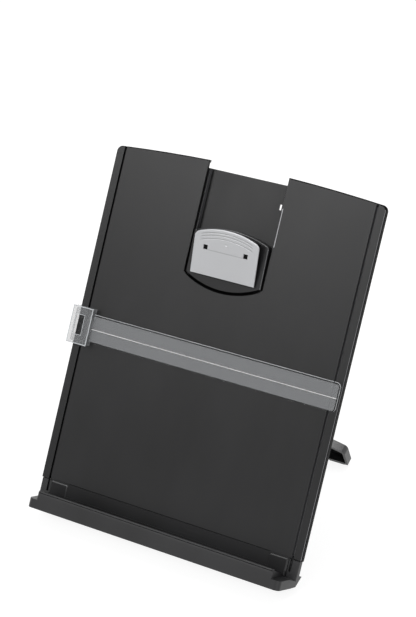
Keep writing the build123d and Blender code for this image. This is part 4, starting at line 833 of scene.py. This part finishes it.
class COPYHOLDER_OT_clip(Operator):
    """Build the lever's silver face and the torsion spring, and finish the sliding clip"""

    bl_idname = "copyholder.clip"
    bl_label = "Paper clip"

    def execute(self, context):
        clip = context.scene.copyholder_clip
        board = context.scene.copyholder_board
        self.make_arm(board)
        body = black("lever_black", 0.4, grain=2000.0, relief=0.15, rough=(0.4, 0.5), gloss=0.08)
        rounded("lever_body", "lever", board.edge * 0.6, [body])
        steel = metal("bright_wire", (0.42, 0.43, 0.45), (0.68, 0.69, 0.71))
        for node in ("clip_pivot_pin", "arm_drag_spring"):
            dress(node, steel)
        self.make_face(clip)
        self.make_spring(steel)
        return {"FINISHED"}

    def make_arm(self, board):
        """The sliding arm: its pad has a painted highlight on its right and upper edge, painted shadow on its
        walls elsewhere, and a painted shadow line round its foot.
        """
        arm = black("arm_black", 1.3, grain=board.grain, relief=0.2, rough=(0.36, 0.46))
        edge = black("pad_edge_polished", 8.0, **GLEAMING)
        deep = black("pad_wall_black", 0.08, **SHADOWED)
        sliding = rounded("clip_arm", "arm", board.edge * 0.7, [arm, edge, deep])
        (x, n, v), (across, out, up) = face_places(sliding)
        side = PAD_HALF - 0.9 * MM
        # Painted shadow on the pad's left and foot walls; painted highlight on its lit right and upper edges.
        wall = between(v, 209.0, 259.5) & (n > -2.0 * MM) & (out < 0.96)
        foot = (np.hypot(x, v - BAY_CENTRE) > PAD_RADIUS - 0.9 * MM) & (v < 232 * MM)
        paint(sliding, wall & ((x < -side) | foot), deep)
        lit = ((x > side) & (v > 216 * MM) | (v > 252.2 * MM)) & ((across > 0.2) | (up > 0.2))
        paint(sliding, wall & lit & (out > 0.3), edge)
        # Painted shadow line round the pad's foot.
        sweep = np.linspace(-0.488, 0.488, 60)
        arc_bead("pad_foot_line", PAD_RADIUS + 0.6 * MM, ARM_FACE, 0.55 * MM, sweep, (0.492, 8), "arm",
                 deep)

    def make_face(self, clip):
        """The silver plate: a grid that is finer along its edges, grooves and windows."""
        side_at, sliver = LEVER_HALF - 1.2 * MM, 0.001 * MM
        edge = LEVER_HALF - 1.2 * MM * (1 - np.sin(np.linspace(0, pi / 2, 11))) - sliver
        x_half = stretches((0, HOLE_X - HOLE_HALF, HOLE_X + HOLE_HALF, side_at), (34, 8, 16))
        x_half = np.concatenate([x_half, edge])
        x_lines = np.concatenate([-x_half[:0:-1], x_half])
        straight_top = 29.6 * MM
        hole_low, hole_high = HOLE_S - HOLE_HALF, HOLE_S + HOLE_HALF
        low_rows = stretches((0, 0.4 * MM, hole_low, hole_high, straight_top), (5, 34, 14, 18))
        rows = np.concatenate([low_rows, 1.0 + np.linspace(0, 1, 68) ** 0.85])

        def s_of(x, row):
            """Rows under 0.5 are places; 1 to 2 is the share of the way up to the thumb edge."""
            above = straight_top + (row - 1.0) * (thumb_edge(x) - straight_top)
            return np.where(row < 0.5, row, above)

        holes = [(x - HOLE_HALF, x + HOLE_HALF, hole_low, hole_high) for x in (-HOLE_X, HOLE_X)]
        relief = partial(plate_relief, groove_depth=clip.groove_depth, rim=clip.rim)
        points, faces = slab_with_holes(x_lines, s_of, rows, relief, PLATE_THICK, holes, on_lever)
        x, row = np.meshgrid(x_lines, rows)
        # Painted shade along the grip grooves and the fold line, kept as a point attribute for the paint.
        shade_amount = painted_plate_shade(x, s_of(x, row)).reshape(-1)
        piece = make_piece("silver_clip_face", points, faces, "lever",
                           silver_paint(clip.silver), sharp=50)
        grime = piece.data.attributes.new("grime", "FLOAT", "POINT")
        grime.data.foreach_set("value", np.concatenate([shade_amount, 0 * shade_amount]))
        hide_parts("lever_plate")

    def make_spring(self, steel):
        """The wire's centre line: a straight leg, a helix about the pin, and a second leg.

        Each leg leans so that its end bears on its piece: by asin of the free height over the
        end's distance from the pin, less atan of the coil's radius over the leg.
        """
        radius, wire, pitch, touch = 1.95 * MM, 0.45 * MM, 1.2 * MM, 0.02 * MM
        low_leg, high_leg = 5.0 * MM, 8.0 * MM

        def leg_lean(length, gap):
            return asin((gap - wire - touch) / hypot(radius, length)) - atan2(radius, length)

        over_pin = (LEVER_FOOT[0] - PIVOT_AT[0]) + (PIVOT_AT[1] - LEVER_FOOT[1]) * tan(LEVER_TILT)
        under_lever = over_pin * cos(LEVER_TILT) - PLATE_THICK - LEVER_WALL
        low = leg_lean(low_leg, PIVOT_AT[0] - POCKET_FLOOR)
        high = LEVER_TILT + leg_lean(high_leg, under_lever)
        turns = 4 + (pi - low - high) / (2 * pi)
        angle = low + np.linspace(0, 2 * pi * turns, 260)
        width = pitch * turns
        coil = np.stack([radius * np.cos(angle), radius * np.sin(angle), np.linspace(0, width, 260)], -1)
        reach = np.linspace(1, 0, 12, endpoint=False)[:, None] * low_leg
        start = coil[:1] + reach * [[sin(low), -cos(low), 0]]
        reach = np.linspace(0, 1, 17)[1:, None] * high_leg
        finish = coil[-1:] + reach * [[-sin(high), -cos(high), 0]]
        down, back, along = np.concatenate([start, coil, finish]).T
        path = on_board(width / 2 - along, PIVOT_AT[0] - down, PIVOT_AT[1] - back)
        points, faces = tube(path, wire, 14)
        piece = make_piece("lever_torsion_spring", points, faces, None, steel)
        low_end, high_end = (
            tuple(on_board(0.0, PIVOT_AT[0], PIVOT_AT[1] + step * MM).tolist()) for step in (-2.0, 2.6)
        )
        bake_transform(piece)
        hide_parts("clip_spring")


class COPYHOLDER_OT_guide(Operator):
    """Finish the clear line guide and its white reading line"""

    bl_idname = "copyholder.guide"
    bl_label = "Line guide"

    def execute(self, context):
        guide = context.scene.copyholder_guide
        wall = clear_plastic("clear_carrier_wall", scaled(guide.clear, 0.5), guide.haze, 0.08)
        # Painted highlight: a paler, more covering clear plastic for the moulded edges and the rim beads.
        glint_clear = clear_plastic("clear_edge", scaled(guide.clear, 0.95), guide.edge_glint_cover, 0.15)
        rounded("guide_carrier", "guide", 0.4 * MM, [wall, glint_clear], strip=glint_clear)
        self.outline("carrier_rim", CARRIER_BOX, 0.35 * MM, 0.42 * MM, glint_clear)
        self.outline("carrier_window_rim", WINDOW_BOX, -0.15 * MM, 0.22 * MM, glint_clear)
        self.make_blade(guide, glint_clear)
        ink = plastic("white_ink", (0.93, 0.93, 0.93), spread=0.02, grain=1800.0, relief=0.05,
                      rough=(0.5, 0.6), scuffs=0.0)
        line = bead("reading_line", rows_of([-103.6, 117.6], 3.1, LINE_V / MM), rows_of([0, 0], 0, -0.33),
                    0.28 * MM, "guide", ink)
        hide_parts("guide_line")
        return {"FINISHED"}

    def outline(self, name, box, inset, half, material):
        """A closed bead round a box, set in from it: a painted highlight along the moulded edge."""
        grow = np.array([[-1, -1], [1, -1], [1, 1], [-1, 1], [-1, -1]])
        x, v = np.array(box).reshape(2, 2)
        corners = np.stack([x[(grow[:, 0] + 1) // 2], v[(grow[:, 1] + 1) // 2]], -1) - inset * grow
        path = np.insert(corners, 1, CARRIER_FRONT, axis=1)
        across = np.insert(grow * half, 1, 0, axis=1)
        bead(name, path, across, BEAD_RISE, "guide", material)

    def make_blade(self, guide, glint_clear):
        """The clear blade: a matt band, a clear rim, and a painted highlight on the edge beyond the outline's
        inset.
        """
        rim = clear_plastic("clear_blade_rim", scaled(guide.clear, 0.2), 0.04)
        band = clear_plastic("clear_blade_band", scaled(guide.clear, 0.95), guide.band_haze, 0.2)

        def outer(x, n, v):
            """True within 0.7 mm of the blade's outline, a box with two rounded corners at its free end."""
            past_end = np.maximum(x - (BLADE_END - BLADE_CORNER), 0)
            past_side = np.maximum(np.abs(v - BLADE_MIDDLE) - (BLADE_HALF - BLADE_CORNER), 0)
            return np.hypot(past_end, past_side) > BLADE_CORNER - 0.7 * MM

        blade = rounded("guide_ruler", "guide", 0.45 * MM, [rim, band, glint_clear],
                        share=lambda x, n, v: float(outer(x, n, v)), strip=glint_clear)
        place, (_, out, up) = face_places(blade)
        paint(blade, (np.abs(place[1] - BAND_FACE) < 0.12 * MM) & (out > 0.9), band)
        # Painted highlight on the blade's outer edge faces.
        skin = outer(*place) & (out < 0.97)
        paint(blade, skin, rim)
        paint(blade, skin & (out > 0.3) & (up > -0.2), glint_clear)


class COPYHOLDER_OT_leg(Operator):
    """Finish the folding leg and its hinge"""

    bl_idname = "copyholder.leg"
    bl_label = "Leg"

    def execute(self, context):
        board = context.scene.copyholder_board
        leg = black("leg_black", 2.5, grain=board.grain, relief=board.relief * 0.4,
                    rough=(0.2, 0.28), scuffs=0.5, gloss=0.7)
        rounded("leg", "stand", board.edge * 1.2, [leg])
        bracket = black("bracket_black", 0.9, grain=board.grain, relief=0.2, rough=(0.38, 0.5))
        rounded("leg_bracket", "board", board.edge, [bracket])
        dress("leg_hinge_pins", metal("hinge_pin_steel", (0.40, 0.41, 0.43), (0.64, 0.65, 0.67)))
        return {"FINISHED"}


class COPYHOLDER_OT_screws(Operator):
    """Build the cross-recessed screw heads on the board's back"""

    bl_idname = "copyholder.screws"
    bl_label = "Screws"

    def execute(self, context):
        spokes = context.scene.copyholder_studio.screw_spokes
        zinc = metal("dark_zinc", (0.10, 0.10, 0.105), (0.24, 0.24, 0.25), rough=(0.3, 0.5))
        self.make_heads("cover_screw_heads", COVER_SCREWS, COVER_SEAT, 1.25 * MM, spokes, zinc,
                        "cover_screws")
        self.make_heads("bracket_screw_heads", BRACKET_SCREWS, BRACKET_BACK, 1.3 * MM, spokes, zinc,
                        "bracket_screws")
        return {"FINISHED"}

    def make_heads(self, name, places, seat, height, spokes, material, node):
        """All heads of one kind in one mesh; each also has its shank down into the wall."""
        head = np.stack(screw_head(height, spokes), -1)
        a = np.linspace(0, 2 * pi, spokes, endpoint=False)
        shank = [np.stack([SHANK_RADIUS * np.cos(a), SHANK_RADIUS * np.sin(a), 0 * a - depth], -1)
                 for depth in (0.0, SHANK_DEPTH)]
        rings = len(head) + 2
        tips = [[0, 0, height - CROSS_DEPTH], [0, 0, -SHANK_DEPTH]]
        x, y, n = np.concatenate([head.reshape(-1, 3), *shank, tips]).T
        size = len(x)
        faces = [grid_quads(rings, spokes, close=True), fan(np.arange(spokes), size - 2),
                 fan(np.arange(spokes) + (rings - 1) * spokes, size - 1, flip=True)]
        points, all_faces = [], []
        for number, (screw_x, screw_v) in enumerate(places):
            turn = radians(17.0 + 41.0 * number)
            turned_x, turned_y = x * cos(turn) - y * sin(turn), x * sin(turn) + y * cos(turn)
            points.append(on_board(screw_x - turned_x, seat - n, screw_v + turned_y))
            all_faces += [face + number * size for face in faces]
        piece = make_piece(name, np.concatenate(points), all_faces, "board", material)
        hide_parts(node)


# ---- stage
def seen_rays(tree):
    """1 for rays from the camera, a gloss or a clear piece, and 0 for those that only light."""
    rays = add(tree, "LightPath").outputs
    reflected = reckon(tree, "MAXIMUM", rays["Is Glossy Ray"], rays["Is Transmission Ray"])
    return reckon(tree, "MAXIMUM", rays["Is Camera Ray"], reflected)


class COPYHOLDER_OT_stage(Operator):
    """Build the white floor, the soft room light and the camera"""

    bl_idname = "copyholder.stage"
    bl_label = "Stage"

    def execute(self, context):
        studio = context.scene.copyholder_studio
        self.make_floor()
        self.make_world(context.scene, studio.surround)
        self.make_lamps(studio.lamps)
        self.make_camera(context.scene, studio.lens)
        return {"FINISHED"}

    def make_floor(self):
        """A flat disc: rings of points at growing radii, all just under the feet."""
        spokes, level = 96, -0.2 * MM
        r = np.concatenate([[0.02], np.geomspace(0.1, 6.0, 24)])[:, None]
        a = np.linspace(0, 2 * pi, spokes, endpoint=False)[None, :]
        rings = np.stack([r * np.cos(a), r * np.sin(a), 0 * r * a + level], -1)
        points = np.concatenate([rings.reshape(-1, 3), [[0, 0, level]]])
        faces = [grid_quads(len(r), spokes, close=True)[:, ::-1], fan(np.arange(spokes), len(points) - 1)]
        floor = new_object("floor", new_mesh("floor", points, faces))
        material, tree, shader, vector = start_material("white_floor")
        shade = blend_colour(tree, noise(tree, vector, 60.0, 3.0), (0.23, 0.23, 0.23), (0.25, 0.25, 0.25))
        glow = reckon(tree, "MULTIPLY", seen_rays(tree), 0.89)
        feed(tree, shader, Base_Color=shade, Roughness=0.8, Specular_IOR_Level=0.1, Emission_Color=(1, 1, 1),
             Emission_Strength=glow)
        floor.data.materials.append(material)

    def make_world(self, scene, room):
        """White to the eye and to gloss; a little darker low down where it lights the object."""
        world = bpy.data.worlds.new("white_room")
        scene.world = world
        world.use_nodes = True
        tree = world.node_tree
        tree.nodes.clear()
        split = add(tree, "SeparateXYZ", Vector=add(tree, "TexCoord").outputs["Generated"])
        level = remap(tree, split.outputs["Z"], -0.1, 0.9, 0.85, 1.15)
        light = add(tree, "Background", Color=(1, 1, 1), Strength=reckon(tree, "MULTIPLY", level, room))
        white = add(tree, "Background", Color=(1, 1, 1), Strength=1.0)
        mixed = add(tree, "MixShader")
        fill(tree, mixed.inputs, (seen_rays(tree), light.outputs[0], white.outputs[0]))
        add(tree, "OutputWorld", Surface=mixed.outputs[0])

    def make_lamps(self, brightness):
        """Round soft lamps; power is brightness times pi squared times the disc's radius squared."""
        for name, place, target, size, share in (
            ("soft_overhead", (-0.20, 0.40, 1.75), (0.0, 0.05, 0.12), 1.2, 1.0),
            ("soft_front_left", (-0.70, -1.28, 1.40), (0.0, 0.05, 0.2), 0.9, 1.75),
            ("soft_right", (1.30, -0.90, 0.52), (0.0, 0.0, 0.15), 0.8, 0.6),
        ):
            lamp = bpy.data.lights.new(name, "AREA")
            lamp.shape = "DISK"
            lamp.size = size
            lamp.energy = brightness * share * pi**2 * (size / 2) ** 2
            holder = new_object(name, lamp)
            holder.location = place
            holder.rotation_euler = (Vector(target) - Vector(place)).to_track_quat("-Z", "Y").to_euler()

    def make_camera(self, scene, lens):
        """Camera placed by the view fitted to the photo: aimed at the board's middle, with no roll."""
        aim = Vector(on_board(5.41 * MM, 0.0, 0.0)) + Vector((0, 70.00 * MM, 185.01 * MM))
        away = Vector((0.4169, -0.7640, 0.4924)).normalized()
        distance = 1.3141
        camera = bpy.data.cameras.new("camera")
        camera.sensor_fit = "VERTICAL"
        camera.sensor_height = 36.0
        camera.lens = lens
        camera.clip_start = 0.05
        holder = new_object("camera", camera)
        holder.location = aim + away * distance
        holder.rotation_euler = (-away).to_track_quat("-Z", "Y").to_euler()
        scene.camera = holder
        scene.view_settings.view_transform = "Standard"


class COPYHOLDER_PT_panel(Panel):
    """Settings and steps of the copy holder"""

    bl_idname = "COPYHOLDER_PT_panel"
    bl_label = "Copy holder"
    bl_space_type = "VIEW_3D"
    bl_region_type = "UI"
    bl_category = "Copy holder"

    def draw(self, context):
        layout = self.layout
        for name, (label, kind) in SETTINGS.items():
            box = layout.box()
            box.label(text=label)
            for prop in kind.__annotations__:
                box.prop(getattr(context.scene, name), prop)
        for step in STEPS:
            layout.operator(step.bl_idname)


SETTINGS = {
    "copyholder_board": ("Board", BoardSettings),
    "copyholder_clip": ("Paper clip", ClipSettings),
    "copyholder_guide": ("Line guide", GuideSettings),
    "copyholder_studio": ("Stage", StudioSettings),
}
STEPS = (COPYHOLDER_OT_board, COPYHOLDER_OT_ledge, COPYHOLDER_OT_clip, COPYHOLDER_OT_guide,
         COPYHOLDER_OT_leg, COPYHOLDER_OT_screws, COPYHOLDER_OT_stage)
CLASSES = (*(kind for _, kind in SETTINGS.values()), *STEPS, COPYHOLDER_PT_panel)


def register():
    for cls in CLASSES:
        bpy.utils.register_class(cls)
    for name, (_, kind) in SETTINGS.items():
        setattr(bpy.types.Scene, name, PointerProperty(type=kind))


def unregister():
    for name in SETTINGS:
        delattr(bpy.types.Scene, name)
    for cls in reversed(CLASSES):
        bpy.utils.unregister_class(cls)


def main():
    register()
    for step in STEPS:
        getattr(bpy.ops.copyholder, step.bl_idname.removeprefix("copyholder."))()


if __name__ == "__main__":
    main()
